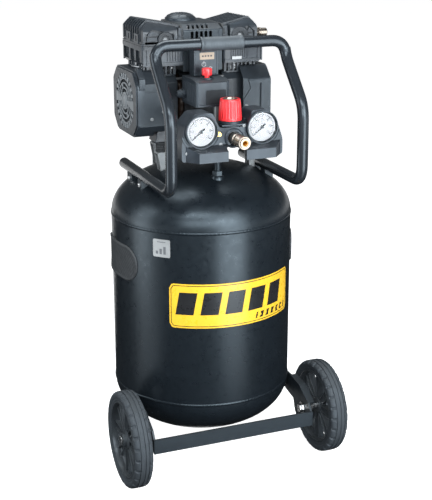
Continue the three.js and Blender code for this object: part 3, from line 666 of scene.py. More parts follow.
def slanted(across, up, lean, thick):
    """A bar on the barrel that leans sideways as it rises."""
    corners, faces = wrapped(across, up, thick, across_steps=6)
    result = []
    for x, y, z in corners:
        radius, angle = math.hypot(x, y), math.atan2(x, -y)
        angle += lean * (z - up[0]) / (up[1] - up[0]) / TANK_R
        result.append((radius * math.sin(angle), -radius * math.cos(angle), z))
    return result, faces


LABEL = {"across": (-128.8, 148.9), "up": (312.5, 401.5)}
STICKER = {"across": (-161.8, -126.0), "up": (451.0, 486.0)}


def tank_labels():
    """A yellow plate with a generic row of slanted bars, and a small silver one with a generic sign."""
    (left, right), (low, high) = LABEL["across"], LABEL["up"]
    layers = (
        ("plate", 0, 9, 0.35, "yellow"), ("line", 3, 7, 0.45, "black"), ("field", 4.4, 6, 0.55, "yellow"),
    )
    for name, inset, corner, thick, colour in layers:
        layer = plate((left + inset, right - inset), (low + inset, high - inset), corner, thick)
        piece(f"label_{name}", layer, f"label_{colour}")
    bar_width, bar_pitch = 35, 48
    starts = [left + 12 + bar_pitch * i for i in range(5)]
    bars = [slanted((start, start + bar_width), (low + 27, high - 17), 8, 0.68) for start in starts]
    bars.append(slanted((right - 104, right - 14), (low + 8, low + 20), 3, 0.68))
    piece("label_bars", join(*bars), "label_black")
    starts = [right - 98 + 14 * i for i in range(6)]
    lines = [slanted((start, start + 8), (low + 12, low + 16), 1, 0.8) for start in starts]
    piece("label_ticks", join(*lines), "label_yellow")
    (left, right), (low, high) = STICKER["across"], STICKER["up"]
    piece("sticker_plate", plate((left, right), (low, high), 3, 0.3), "label_silver")
    marks = []
    for i in range(3):
        start = left + 6 + 8 * i
        marks.append(slanted((start, start + 5), (low + 6, low + 12 + 4.5 * i), 0, 0.42))
    marks.append(slanted((left + 9, right - 9), (high - 6, high - 4.6), 0, 0.42))
    piece("sticker_marks", join(*marks), "mark_grey")


def side_pad(side):
    """A rubbing pad: a raised rim round a field of slanting ribs."""
    _, (_, half_depth), (low, high) = extent(f"side_pad_{side}")
    half_height = (high - low) / 2
    half_width = TANK_R * math.asin(min(1, half_depth / TANK_R))
    sign = 1 if side == "right" else -1
    centre = sign * TANK_R * math.pi / 2
    z_middle = (low + high) / 2
    across = (centre - half_width, centre + half_width)

    def past_straight(s):
        """How far a place is into one of the pad's round ends."""
        return max(0, abs(s - centre) - (half_width - half_height))

    def half(s):
        return math.sqrt(max(0, half_height ** 2 - past_straight(s) ** 2))

    def relief(s, z):
        inward = half_height - math.hypot(past_straight(s), z - z_middle)
        if inward < 1:
            return -1.4 * (1 - max(0, inward))
        if inward < 5:
            return 0.5
        stripe = math.sin((s * sign + (z - z_middle) * 0.8) * 2 * math.pi / 6.5)
        return -1.1 + 0.7 * max(-0.3, stripe)

    edges = (lambda s: z_middle - half(s)), (lambda s: z_middle + half(s))
    body = wrapped(across, (low, high), 2.9, *edges, 190, 34, relief)
    piece(f"pad_{side}", body, "rubber", replaces=(f"side_pad_{side}",), smooth=50)


# ---------------------------------------------------------------- handle

BAR_Y, BAR_Z = middle("handle_grip")[1:]


def handle():
    """One bent tube, and the grip's rubber with its rings and end collars."""
    half = [
        ((HANDLE_X, 93, FOOT_Z), 0), ((HANDLE_X, HANDLE_Y, FOOT_Z), 34), ((HANDLE_X, HANDLE_Y, 730), 26),
        ((HANDLE_X, BAR_Y - 6, 814), 16), ((HANDLE_X - 2, BAR_Y, BAR_Z), 26),
    ]
    other = [((-x, y, z), setback) for (x, y, z), setback in reversed(half)]
    tube = swept(bent_path([*half, *other], 12), TUBE_R, 32, cap=4)
    piece("handle_tube", tube, "handle_paint", replaces=("handle_frame",), smooth=60)
    low, high = extent("handle_grip")[0]
    collar = [(TUBE_R - 0.4, 0), (13.0, 0), (13.5, 0.8), (13.5, 4), (12.9, 5)]
    profile = [(r, low + x) for r, x in collar]
    for i in range(1, 24):
        x = low + 5 + (high - low - 10) * i / 24
        profile += [(12.75, x - 0.9), (12.45, x), (12.75, x + 0.9)]
    profile += [(r, high - x) for r, x in reversed(collar)]
    profile.append(profile[0])
    sleeve = turned(X, (BAR_Y, BAR_Z), profile, 48)
    piece("grip_sleeve", sleeve, "grip_rubber", replaces=("handle_grip",), smooth=50)


# ---------------------------------------------------------------- wheels

WHEEL_X = middle("tyre_right")[0]
WHEEL_Y, WHEEL_Z = middle("tyre_right")[1:]
RIM_R = 76
SPOKES = 8


def tyre():
    """Section of the tyre from its bead, over the tread, to the other bead."""
    half = [
        (0, 0), (0, 14.6), (1.5, 15.6), (4, 16.2), (5, 15.7), (6.2, 16.6), (9, 17.8), (12, 17.9),
        (14.5, 17.2),
        (15.6, 16.4), (17.4, 14.6), (18.4, 12), (18.8, 9.6), (17.2, 9.0), (17.2, 7.8), (18.9, 7.2),
        (19, 2.4),
        (17.4, 1.8), (17.4, 0),
    ]
    half = [(RIM_R + rise, x) for rise, x in half]
    section = half + [(r, -x) for r, x in reversed(half[:-1])]
    shoulder = {i for i, (r, x) in enumerate(section) if 12 <= abs(x) <= 17.3 and r > RIM_R + 14}
    count, notches, steps = len(section), 26, 312

    def point(u, v):
        index = round(v * (count - 1))
        radius, x = section[index]
        turn = u * notches + (0.5 if x < 0 else 0)
        if index in shoulder and (turn % 1) < 0.22:
            radius, x = radius - 2.2, x * 0.93
        angle = 2 * math.pi * u
        return WHEEL_X + x, WHEEL_Y + radius * math.cos(angle), WHEEL_Z + radius * math.sin(angle)

    return surface(point, steps, count - 1, True, False)


def hub():
    """Rim, eight channelled spokes and a boss."""
    centre = (WHEEL_Y, WHEEL_Z)
    outer = RIM_R - 0.2
    rim_profile = [
        (0, -15), (0, 15), (3.2, 16), (4, 14.8), (4, 3), (7, 1), (7, -3), (4, -5), (4, -14.8), (3.2, -16),
        (0, -15),
    ]
    shapes = [turned(X, centre, [(outer - depth, WHEEL_X + x) for depth, x in rim_profile], 96)]
    boss_profile = [
        (6.6, -8.7), (15.5, -8.7), (17, -7.2), (17.4, 4), (20, 6), (20, 8.5), (14.5, 10.5), (14, 15),
        (12.6, 16.3),
        (6.6, 16.3), (6.6, -8.7),
    ]
    shapes.append(turned(X, centre, [(r, WHEEL_X + x) for r, x in boss_profile], 48))
    spoke = [prism(X, [(15, -5.4), (70, -8.6), (70, 8.6), (15, 5.4)], -3.6, -0.6)]
    for sign in (-1, 1):
        rib = [(14, sign * 6.4), (14, sign * 4.2), (71, sign * 6.8), (71, sign * 9.4)]
        spoke.append(prism(X, rib, -6, 7.4))
    spokes = [spun(join(*spoke), 360 * i / SPOKES, X) for i in range(SPOKES)]
    shapes += [moved(shape, WHEEL_X, WHEEL_Y, WHEEL_Z) for shape in spokes]
    return join(*shapes)


def wheels():
    right_tyre, right_hub = tyre(), hub()
    for side, place in SIDES.items():
        body = f"wheel_{side}"
        piece(f"tyre_rubber_{side}", place(right_tyre), "tyre_rubber", body, (f"tyre_{side}",), smooth=45)
        piece(f"hub_{side}", place(right_hub), "wheel_plastic", body, (f"wheel_hub_{side}",), edge=0.5)
        refinish(f"axle_bolt_{side}", "bright_steel", 0.6)


# ---------------------------------------------------------------- undercarriage, leg and drain

def undercarriage():
    """The CAD's brackets, crossbar and rear leg, with washers and bolt heads added."""
    refinish("undercarriage_frame", "steel_paint", 0.5)
    refinish("rear_leg", "steel_paint", 0.6)
    refinish("rear_foot", "rubber", 1.5)
    inner = extent("axle_bolt_right")[0][0]
    washer = ring(X, (WHEEL_Y, WHEEL_Z), 7, 12.5, inner + 6.3, inner + 7.6)
    bolts = []
    for y in (-52, -88):
        bolt = turned(X, (y, 122), [(0, 170.2), (6, 170.2), (6, 172.5), (4, 174.6), (0, 175)], 24)
        bolts += [bolt, mirrored(bolt)]
    piece("axle_washers", join(washer, mirrored(washer)), "bright_steel", edge=0.3)
    piece("bracket_bolts", join(*bolts), "bright_steel")


def drain():
    refinish("drain_valve_body", "brass", 0.4)
    refinish("drain_tap", "brass", 0.5)


# ---------------------------------------------------------------- pump: motor and crankcases

PUMP_Y, PUMP_Z = middle("stator_core")[1:]
PUMP = (PUMP_Y, PUMP_Z)


def motor():
    """The stator's stack of plates between the crankcases, with its windings at both ends."""
    low, high = extent("stator_core")[0]
    outer = (extent("stator_core")[2][1] - extent("stator_core")[2][0]) / 2
    bore, margin, plates = 37, 12, 26
    groove = outer - 0.9
    step = (high - low - 2 * margin) / plates
    stack = [(bore, low + margin)]
    for i in range(plates):
        x = low + margin + step * i
        stack += [
            (outer, x), (outer, x + step * 0.72), (groove, x + step * 0.74), (groove, x + step * 0.98),
        ]
    stack += [(bore, high - margin), (bore, low + margin)]
    piece("stator_plates", turned(X, PUMP, stack, 64), "motor_steel", replaces=("stator_core",), smooth=30)

    def coil(u, v):
        angle, bead = 2 * math.pi * u, 2 * math.pi * v
        lump = 1 + 0.05 * math.sin(24 * angle)
        radius = 45 + 7.5 * lump * math.cos(bead)
        x = high - 9 + 7 * lump * math.sin(bead)
        return x, PUMP_Y + radius * math.cos(angle), PUMP_Z + radius * math.sin(angle)

    winding = surface(coil, 144, 12, True, True)
    piece("motor_windings", join(winding, mirrored(winding)), "copper_winding", smooth=60)
    corner = 44
    places = rectangle((PUMP_Y - corner, PUMP_Y + corner), (PUMP_Z - corner, PUMP_Z + corner))
    ties = [rod(X, place, 3, -49, 49, 16) for place in places]
    piece("motor_tie_rods", join(*ties), "zinc_casting")
    for side in ("left", "right"):
        refinish(f"crankcase_{side}", "cast_aluminium", 1.2)
        # The fans are near black: painted shade inside the shrouds.
        refinish(f"fan_{side}", "painted_shade_black", 0.5)
        refinish(f"piston_{side}", "piston_alloy", 0.4)
    refinish("rotor", "motor_steel", 0.5)
    refinish("motor_shaft", "bright_steel", 0.4)


# ---------------------------------------------------------------- pump: cylinders and heads

BLOCK_HIGH = extent("cylinder_left")[2][1]
BLOCK_LOW = BLOCK_HIGH - 42
FLANGE_LOW = BLOCK_HIGH - 11
FRONT, BACK = extent("cylinder_head_left")[1]
INNER = extent("cylinder_head_right")[0][0]
BLOCK_END = {"left": -extent("cylinder_left")[0][0], "right": extent("cylinder_right")[0][1]}
HEAD_END = {"left": -extent("cylinder_head_left")[0][0], "right": extent("cylinder_head_right")[0][1]}
LINER = (85, PUMP_Y)
LINER_BORE = 27.2


def casting(end):
    """The lower casting, drawn for the +X side: a skirt under a flange, with windows at its end."""
    outline = softened(rectangle((INNER, end), (FRONT, BACK)), 5, 4)
    hollow = rounded((INNER + 6, end - 6), (FRONT + 6, BACK - 6), 4)
    skirt = prism(Z, outline, BLOCK_LOW, FLANGE_LOW, [hollow])
    below = BLOCK_LOW - 1
    chamfer = prism(Y, [(end - 9, below), (end + 1, below), (end + 1, below + 10)], FRONT - 5, BACK + 5)
    shell = carved(skirt, chamfer)
    windows, bars = [], []
    for low, high in ((FRONT + 12, FRONT + 37), (FRONT + 45, FRONT + 70), (FRONT + 79, BACK - 9)):
        windows.append(block((end - 5, end + 2), (low, high), (BLOCK_LOW + 7, FLANGE_LOW - 2)))
        for i in (1, 2, 3):
            y = low + (high - low) * i / 4
            bars.append(block((end - 5.4, end - 3.2), (y - 1.1, y + 1.1), (BLOCK_LOW + 15, FLANGE_LOW - 1)))
    return join(carved(shell, *windows), *bars)


def casting_flange(end):
    """Two plates with a groove between them, which close the casting's top round the bore."""
    shapes = []
    for depth, high, out in ((11, 4, 1.2), (4, 2.6, -1.2), (2.6, 0, 0.6)):
        outline = rectangle((INNER - 0.2 * out, end + 0.4 * out), (FRONT - out, BACK + out))
        shapes.append(prism(Z, softened(outline, 5), BLOCK_HIGH - depth, BLOCK_HIGH - high))
    bore = rod(Z, LINER, LINER_BORE, FLANGE_LOW - 1, BLOCK_HIGH + 1, 64)
    return carved(join(*shapes), bore)


def casting_front(side, end):
    """Pilasters, ribs and ledges on the casting's front and back."""
    low, high = BLOCK_LOW, FLANGE_LOW
    first, pitch, width, count = (15, 4.8, 2.2, 8) if side == "right" else (10, 5.5, 2.5, 5)
    shapes = []
    for y, out in ((FRONT, -1), (BACK, 1)):
        face = sorted((y - out * 1.5, y + out * 1.9))
        for x in (end - 4.5, end - 12):
            shapes.append(block((x, x + 2.6), face, (low + 2, high)))
        if side == "left":
            shapes.append(block((end - 32, end - 29.5), face, (low + 3, high)))
            shapes.append(block((end - 32, end - 20), face, (high - 5, high - 2.5)))
        for i in range(count):
            x = INNER + first + i * pitch
            shapes.append(block((x, x + width), face, (low + 9, high)))
        ledge = sorted((y - out * 1.5, y + out * 2.6))
        shapes.append(block((INNER + 2, end - 9), ledge, (low + 3.5, low + 6.5)))
    return join(*shapes)


def liner(side):
    """The cylinder's light sleeve and its cooling plates, and the dark pillars that stand round them."""
    place = SIDES[side]
    high = BLOCK_LOW
    sleeve = ring(Z, LINER, LINER_BORE, 33, PUMP_Z + 54, FLANGE_LOW - 0.5, 64)
    tops = [high - 4.5 * (i + 1) for i in range(3)]
    plates = [ring(Z, LINER, 31, 39, top - 2, top, 64) for top in tops]
    piece(f"liner_{side}", place(join(sleeve, *plates)), "liner_alloy", edge=0.3)
    foot_plate = prism(Z, softened(rectangle((48, 120), (2, 94)), 12), PUMP_Z + 50.3, PUMP_Z + 53.7)
    pillars = [carved(foot_plate, rod(Z, LINER, LINER_BORE, PUMP_Z + 49, PUMP_Z + 55, 64))]
    upright = (PUMP_Z + 53, high + 1)
    for i in range(8):
        x = 50 + i * 9
        width = 3.4 if i % 3 else 5.5
        pillars += [block((x, x + width), (y, y + 6), upright) for y in (1.5, 88)]
    pillars += [block((114.5, 119), (y, y + 4), upright) for y in (16, 32, 48, 64, 78)]
    piece(f"liner_pillars_{side}", place(join(*pillars)), "cast_aluminium", edge=0.4)


def cylinders():
    for side, place in SIDES.items():
        end = BLOCK_END[side]
        body = join(casting(end), casting_flange(end), casting_front(side, end))
        piece(f"block_{side}", place(body), "cast_aluminium", replaces=(f"cylinder_{side}",), edge=0.6)
        liner(side)
    tag = block((57, 77), (FRONT - 3.2, FRONT - 2.3), (BLOCK_LOW + 6.4, BLOCK_LOW + 12))
    piece("block_tag", tag, "label_silver")


HEAD_LOW, HEAD_HIGH = extent("cylinder_head_left")[2]
COVER_IN = 54


def head_profile(end, drop=0.0, inner=None, draw=0.0):
    """The head's side, seen from the front: its roof climbs outward to a chamfered end."""
    inner = INNER + draw if inner is None else inner
    climb = (HEAD_HIGH - 13 + (inner - INNER) * 0.17) - drop
    return [
        (inner, HEAD_LOW), (inner, climb), (end - 14, HEAD_HIGH - drop),
        (end - draw, HEAD_HIGH - 13 - drop),
        (end - draw, HEAD_LOW),
    ]


def fin_pack(end):
    """Upright cooling plates that run outward over the roof and down the end, on a lower core."""
    first, last, count, thick = FRONT + 17, BACK - 5, 8, 2.6
    shapes = [prism(Y, head_profile(end, 9, draw=7), first - 3, last - 1)]
    for i in range(count):
        y = first + (last - first - thick) * i / (count - 1)
        shapes.append(prism(Y, softened(head_profile(end, 0.25 * i), 2, 2), y, y + thick))
    return join(*shapes)


def front_cover(end, boss_x, boss_z, boss_r):
    """The smooth front: a shaped hood over a raised pad, and a round boss for a bolt."""
    hood = prism(Y, softened(head_profile(end, 3, COVER_IN, 1.5), 4, 3), FRONT, FRONT + 15)
    brow = [
        (FRONT - 1, HEAD_HIGH - 22), (FRONT - 1, HEAD_HIGH + 9), (FRONT + 16, HEAD_HIGH + 9),
        (FRONT + 16, HEAD_HIGH - 1), (FRONT + 5, HEAD_HIGH - 13),
    ]
    hood = carved(hood, prism(X, brow, 30, 140))
    field = [(COVER_IN + 7, 841), (COVER_IN + 7, 853), (end - 20, 863), (end - 7, 853), (end - 7, 841)]
    hood = carved(hood, prism(Y, softened(field, 3, 3), FRONT - 1, FRONT + 4.5))
    beside = boss_x + boss_r
    pad = [(beside - 4, 851), (beside + 1, 857), (end - 18, 860), (end - 11, 853), (end - 11, 850.5)]
    low_pad = [(beside, 839), (beside, 848), (end - 10, 848), (end - 10, 839)]
    shapes = [hood, prism(Y, softened(pad, 2, 2), FRONT + 0.8, FRONT + 6)]
    shapes.append(prism(Y, low_pad, FRONT + 1.6, FRONT + 6))
    rise = [
        (4.6, 6), (boss_r, 6), (boss_r, -0.6), (boss_r - 1.4, -1.8), (8.4, -1.8), (7.4, -0.4), (4.6, -0.4),
        (4.6, 6),
    ]
    boss = turned(Y, (boss_x, boss_z), [(r, FRONT + y) for r, y in rise], 56)
    shapes.append(carved(boss, block((0, 200), (FRONT - 5, FRONT + 9), (HEAD_LOW - 40, HEAD_LOW + 0.4))))
    return join(*shapes)


def head_trim(end):
    """Flange, lugs with slots on the outer end, and the low box beside the bridge."""
    shapes = [prism(Z, softened(rectangle((INNER, end), (FRONT, BACK)), 5), HEAD_LOW, HEAD_LOW + 4)]
    for y in (FRONT + 22, FRONT + 68):
        lug = block((end - 8, end + 1.6), (y, y + 24), (HEAD_LOW, HEAD_LOW + 17))
        slot_cut = block((end - 3, end + 3), (y + 9, y + 14), (HEAD_LOW + 3.5, HEAD_LOW + 13.5))
        shapes.append(carved(lug, slot_cut))
    low_box = [(INNER, HEAD_LOW), (INNER, 862), (COVER_IN - 4, 864), (COVER_IN - 3, HEAD_LOW)]
    shapes.append(prism(Y, low_box, FRONT + 5, FRONT + 15))
    shapes.append(block((INNER, COVER_IN - 5), (FRONT + 3.4, FRONT + 6), (846, 849)))
    back = prism(Y, softened(head_profile(end, 4), 3, 3), BACK - 5, BACK)
    field = block((INNER + 12, end - 16), (BACK - 2, BACK + 2), (HEAD_LOW + 7, HEAD_HIGH - 17))
    shapes.append(carved(back, field))
    return join(*shapes)


# The round boss on each head's front: x, z and radius.
BOSS = {"right": (74, 845, 18), "left": (78, 843, 15.5)}


def heads():
    for side, place in SIDES.items():
        end, boss = HEAD_END[side], BOSS[side]
        body = join(fin_pack(end), front_cover(end, *boss), head_trim(end))
        piece(f"head_{side}", place(body), "cast_aluminium", replaces=(f"cylinder_head_{side}",), edge=0.5)
        front, low = FRONT + 4.6, HEAD_LOW + 0.4
        outline = [
            (front, low), (front, 860), (FRONT + 15, 867.6), (BACK - 12, 867.6), (BACK - 4, 860),
            (BACK - 4, low),
        ]
        band = prism(X, outline, INNER - 0.2, INNER + 4.2)
        piece(f"head_band_{side}", place(band), "rubber", edge=0.6)
        bolt = hexagon(Y, boss[:2], 5, FRONT + 5, FRONT + 0.6)
        piece(f"head_bolt_{side}", place(bolt), "rail_paint", edge=0.3)


# ---------------------------------------------------------------- pump: shrouds and top cover

(SHROUD_IN, SHROUD_OUT), SHROUD_Y, SHROUD_Z = extent("fan_shroud_right")
GUARD_R = 54


def shroud_section(inset=0.0):
    """The shroud's octagon, seen from its end."""
    c = 25 - inset * 0.6
    y0, y1 = SHROUD_Y[0] + inset, SHROUD_Y[1] - inset
    z0, z1 = SHROUD_Z[0] + inset, SHROUD_Z[1] - inset
    lower = [(y0 + c, z0), (y1 - c, z0), (y1, z0 + c)]
    return [*lower, (y1, z1 - c), (y1 - c, z1), (y0 + c, z1), (y0, z1 - c), (y0, z0 + c)]


def grille():
    """The end wall's guard: radial slots round rings of curved slots, a plain middle and a bar across."""
    sectors = 48
    plain = {0, 1, 23, 24, 25, 47}
    radii = [13, 17, 23.5, 26.5, 33, 36, 42, 44.5, GUARD_R]
    thick = 2.6

    def is_open(sector, level):
        if sector in plain or level % 2 == 0:
            return False
        return sector % 2 == 0 if level == 7 else sector % 12 != 2 * level + 2

    corners, faces, index = [], [], {}

    def corner(angle_number, level, deep):
        key = (angle_number % sectors, level, deep)
        if key not in index:
            angle = 2 * math.pi * key[0] / sectors
            index[key] = len(corners)
            x, r = SHROUD_OUT - (thick if deep else 0), radii[level]
            corners.append((x, PUMP_Y + r * math.cos(angle), PUMP_Z + r * math.sin(angle)))
        return index[key]

    levels = range(len(radii) - 1)
    solid = {(sector, level) for sector in range(sectors) for level in levels if not is_open(sector, level)}
    for a, level in sorted(solid):
        b, above = a + 1, level + 1
        around_cell = ((a, level), (b, level), (b, above), (a, above))
        faces.append(tuple(corner(*place, 0) for place in around_cell))
        faces.append(tuple(corner(*place, 1) for place in (around_cell[0], *reversed(around_cell[1:]))))
        edges = (
            ((a, level - 1), (a, level), (b, level)),
            ((a, above), (a, above), (b, above)),
            (((a - 1) % sectors, level), (a, level), (a, above)),
            ((b % sectors, level), (b, level), (b, above)),
        )
        for neighbour, (n0, l0), (n1, l1) in edges:
            if neighbour not in solid:
                faces.append((corner(n0, l0, 0), corner(n1, l1, 0), corner(n1, l1, 1), corner(n0, l0, 1)))
    return corners, faces


def shroud_shell(foot_x):
    """The moulded shell: octagonal walls, an end wall with a round opening for the guard."""
    rim_in, lip_in = SHROUD_OUT - 6, SHROUD_OUT - 2.4
    outside = softened(shroud_section(), 5, 3)
    inside = softened(shroud_section(3), 4, 3)
    opening = circle(PUMP, GUARD_R, 72)
    sleeve = prism(X, outside, SHROUD_IN, rim_in, [inside])
    rim = prism(X, outside, rim_in, lip_in, [opening])
    lip = prism(X, softened(shroud_section(3.5), 4, 3), lip_in, SHROUD_OUT, [opening])
    roof_gap = block((SHROUD_IN - 1, 122), (PUMP_Y - 46, PUMP_Y + 46), (PUMP_Z + 40, PUMP_Z + 70))
    floor_gap = block((SHROUD_IN - 1, foot_x + 18), (-12, 108), (PUMP_Z - 70, PUMP_Z - 40))
    return carved(sleeve, roof_gap, floor_gap), rim, lip


def screw(axis, centre, radius, low, high):
    """A pan-head screw with a cross recess."""
    out = 1 if high > low else -1
    profile = [
        (0, low), (radius, low), (radius, low + out * 1.2), (radius * 0.7, high), (0, high + out * 0.2),
    ]
    head = turned(axis, centre, profile, 28)
    ends = sorted((high - out * 0.9, high + out * 2))
    for du, dv in ((radius * 0.55, 0.5), (0.5, radius * 0.55)):
        slot = rectangle((centre[0] - du, centre[0] + du), (centre[1] - dv, centre[1] + dv))
        head = carved(head, prism(axis, slot, *ends))
    return head


def shroud_relief(side):
    """Two recesses in the shroud's front, deep and shallow, and a raised trim beside them."""
    front = SHROUD_Y[0]
    if side == "left":
        deep = rounded((92, 123), (746, 766), 4)
        shallow = softened([(79, 640), (79, 689), (124, 689), (142, 678), (142, 640)], 2)
        section = [
            (front - 2.4, 752), (front + 1, 752), (front + 1, 772), (-4, 786.6), (-4, 789), (-9, 789),
            (front - 2.4, 772),
        ]
        trim = prism(X, softened(section, 1.5), 123, 134)
    else:
        deep = [(79, 720), (82, 722), (96, 743), (89, 762), (79, 762)]
        shallow = rounded((103, 116), (700, 752), 2)
        trim = prism(Y, rounded((117, 122.5), (701, 752), 2), front - 2.4, front + 1)
    recesses = [prism(Y, deep, front - 1, front + 2.2), prism(Y, shallow, front - 1, front + 1.8)]
    return recesses, trim


def shrouds():
    """Each fan's shroud with its guard, a near-black mat behind the guard as painted shade inside the
    shroud, and two screws.
    """
    front, out = SHROUD_Y[0], SHROUD_OUT
    cap = [(0, out - 3), (13.4, out - 3), (13.4, out - 1), (12, out - 0.2), (0, out - 0.2)]
    for side, place in SIDES.items():
        foot_x = abs(middle(f"damper_front_{side}")[0])
        shell, rim, lip = shroud_shell(foot_x)
        recesses, trim = shroud_relief(side)
        body = join(carved(shell, *recesses), rim, lip, trim)
        piece(f"shroud_{side}", place(body), "black_plastic", replaces=(f"fan_shroud_{side}",), edge=0.6)
        # The guard's light grey is a painted highlight.
        guard = join(grille(), turned(X, PUMP, cap, 48))
        piece(f"shroud_guard_{side}", place(guard), "guard_plastic_painted_highlight", edge=0.35)
        # A near-black sheet behind the guard: painted shade, so that the slots read dark.
        mat = ring(X, PUMP, 12, GUARD_R + 3, out - 4.4, out - 3.6, 72)
        piece(f"shroud_painted_shade_mat_{side}", place(mat), "painted_shade_black")
        screws = [screw(Y, (86, 708), 3.6, front, front - 2.2), screw(Y, (110, 695), 3.2, front, front - 2)]
        piece(f"shroud_screws_{side}", place(join(*screws)), "rail_paint")


def top_cover():
    """A ribbed bridge between the heads, with louvres in its front and slanting slots above them."""
    (x0, x1), (front, back), (low, high) = extent("top_cover")
    joint = 836
    housing = carved(
        block((x0, x1), (front + 1.5, back), (low, joint)),
        block((x0 + 3, x1 - 3), (front + 4.5, back - 3), (low - 1, joint + 1)),
    )
    rib_places = [x0 + 8 + i * 12.5 for i in range(6)]
    ribs = [block((x, x + 2), (front + 0.3, front + 2), (low + 4, joint - 2)) for x in rib_places]
    # The lower housing takes the darker steel paint: painted shade in the gap between the heads.
    piece("bridge_housing", join(housing, *ribs), "steel_paint", edge=0.5)
    low = joint + 0.4
    section = [
        (front, low), (front, high - 9), (front + 28, high), (back - 6, high), (back, high - 6),
        (back, low),
    ]
    body = prism(X, softened(section, 3), x0, x1)
    inside = [
        (front + 3, low - 1), (front + 3, high - 11), (front + 29, high - 3), (back - 4, high - 3),
        (back - 4, low - 1),
    ]
    hollow = prism(X, inside, x0 + 3, x1 - 3)
    cuts = []
    for i in range(5):
        x = -25 + 9.4 * i
        louvre = prism(Y, softened(rectangle((x, x + 5.4), (842, 856)), 2.6, 3), front - 1, front + 5)
        slot = [(x - 5, front + 4), (x - 0.4, front + 4), (x + 4.6, front + 23), (x, front + 23)]
        cuts += [louvre, prism(Z, softened(slot, 2, 2), high - 14, high + 2)]
        cuts.append(block((x, x + 5), (back - 5, back + 1), (844, 858)))
    breather = rod(Z, tuple(middle("intake_filter_cap")[:2]), 20, high - 8, high + 2, 48)
    shell = carved(carved(body, hollow), breather, *cuts)
    trims = [block((x0 + 1, x1 - 1), (front - 1.2, front + 1), (838, 840.2))]
    trims.append(block((x1 - 9, x1 - 6.5), (front - 1, front + 2), (838, high - 11)))
    piece("bridge_cover", join(shell, *trims), "black_plastic", replaces=("top_cover",), edge=0.6)


def filter_cap():
    """The intake filter's round cap: a low dome with nine swirling ribs."""
    (x0, x1), _, (low, high) = extent("intake_filter_cap")
    cx, cy, _ = middle("intake_filter_cap")
    radius = (x1 - x0) / 2
    dome_r, dome_low = radius - 3, low + 5
    rise = high - 1.2 - dome_low
    dome = [(0, low + 2), (dome_r, low + 2), (radius - 2.5, low), (radius, low), (radius, low + 3.5)]
    dome.append((radius - 1.5, dome_low))
    for i in range(1, 8):
        angle = math.pi / 2 * i / 8
        dome.append((dome_r * math.cos(angle), dome_low + rise * math.sin(angle)))
    dome.append((0, high - 1.2))
    shapes = [turned(Z, (cx, cy), dome, 72)]

    def rib(start, t):
        r = (radius - 5) * (1 - t) + 5 * t
        angle = start + 0.9 * t
        lift = rise * math.sqrt(max(0, 1 - (r / dome_r) ** 2))
        return Vector((cx + r * math.cos(angle), cy + r * math.sin(angle), dome_low - 0.4 + lift))

    for i in range(9):
        shapes.append(swept([rib(2 * math.pi * i / 9, k / 10) for k in range(11)], 1.1, 8))
    piece("filter_dome", join(*shapes), "black_plastic", replaces=("intake_filter_cap",), smooth=45)


# ---------------------------------------------------------------- air lines and dampers

def discharge():
    x0, x1 = extent("discharge_fitting")[0]
    axis = middle("discharge_fitting")[1:]
    nut = hexagon(X, axis, 9.6, x0, x0 + 9)
    barrel = [
        (0, x0 + 8), (7.4, x0 + 8), (7.4, x0 + 12), (8.2, x0 + 12.6), (8.2, x1 - 2), (7.2, x1 - 0.6),
        (0, x1 - 0.6),
    ]
    fitting = join(nut, turned(X, axis, barrel, 40))
    piece("outlet_elbow", fitting, "nickel", replaces=("discharge_fitting",), edge=0.3)
    pipe_x, pipe_y, pipe_z = extent("discharge_pipe")
    radius = 5
    top_x, top_z = pipe_x[1] - radius, pipe_z[1] - radius
    check_x = middle("check_valve")[0]
    back = pipe_y[1] - radius
    corners = [
        ((top_x, pipe_y[0], top_z), 0), ((top_x, back, top_z), 24), ((check_x, back, 760), 28),
        ((check_x, back, pipe_z[0]), 0),
    ]
    pipe = swept(bent_path(corners, 12), radius, 24)
    nuts = [hexagon(Y, (top_x, top_z), 8, pipe_y[0] + 1, pipe_y[0] + 12)]
    nuts.append(hexagon(Z, (check_x, back), 8.6, pipe_z[0] + 1, pipe_z[0] + 13))
    piece("delivery_pipe", pipe, "pipe_aluminium", replaces=("discharge_pipe",), smooth=60)
    piece("pipe_nuts", join(*nuts), "brass", edge=0.4)
    refinish("check_valve", "brass", 0.5)
    refinish("riser_pipe", "tank_paint", 0.5)


def dampers():
    """Ribbed rubber buffers under the crankcases."""
    ribs = 4
    for node in DAMPERS:
        x, y, _ = middle(node)
        low, high = extent(node)[2]
        step = (high - low) / ribs
        profile = [(0, low)]
        for i in range(ribs):
            z = low + step * i
            profile += [(10.6, z + 0.3), (11, z + step * 0.2), (11, z + step * 0.7), (9.3, z + step * 0.85)]
        profile += [(10.6, high), (0, high)]
        piece(f"{node}_rubber", turned(Z, (x, y), profile, 40), "rubber", replaces=(node,), smooth=40)


# ---------------------------------------------------------------- control panel

PANEL_SIDE = {"left": (102, 95, 77, 42), "right": (99, 86, 67, 36)}


def panel_outline(inset, bottom):
    """Front view of the panel: shoulders over the gauges, a dip under the knob."""
    halves = {}
    for side, (foot, shoulder, top, dip) in PANEL_SIDE.items():
        halves[side] = [
            (foot - inset, bottom), (foot - inset, 670), (shoulder - inset, 707 - inset / 2),
            (top, 727 - inset), (dip, 727 - inset), (28 + inset, 698 - inset),
        ]
    return halves["right"] + [(-x, z) for x, z in reversed(halves["left"])]


GAUGE_X = {side: middle(f"gauge_case_{side}")[0] for side in ("left", "right")}
GAUGE_Z = middle("gauge_case_right")[2]
COUPLER = (middle("coupler_body")[0], middle("coupler_body")[2])


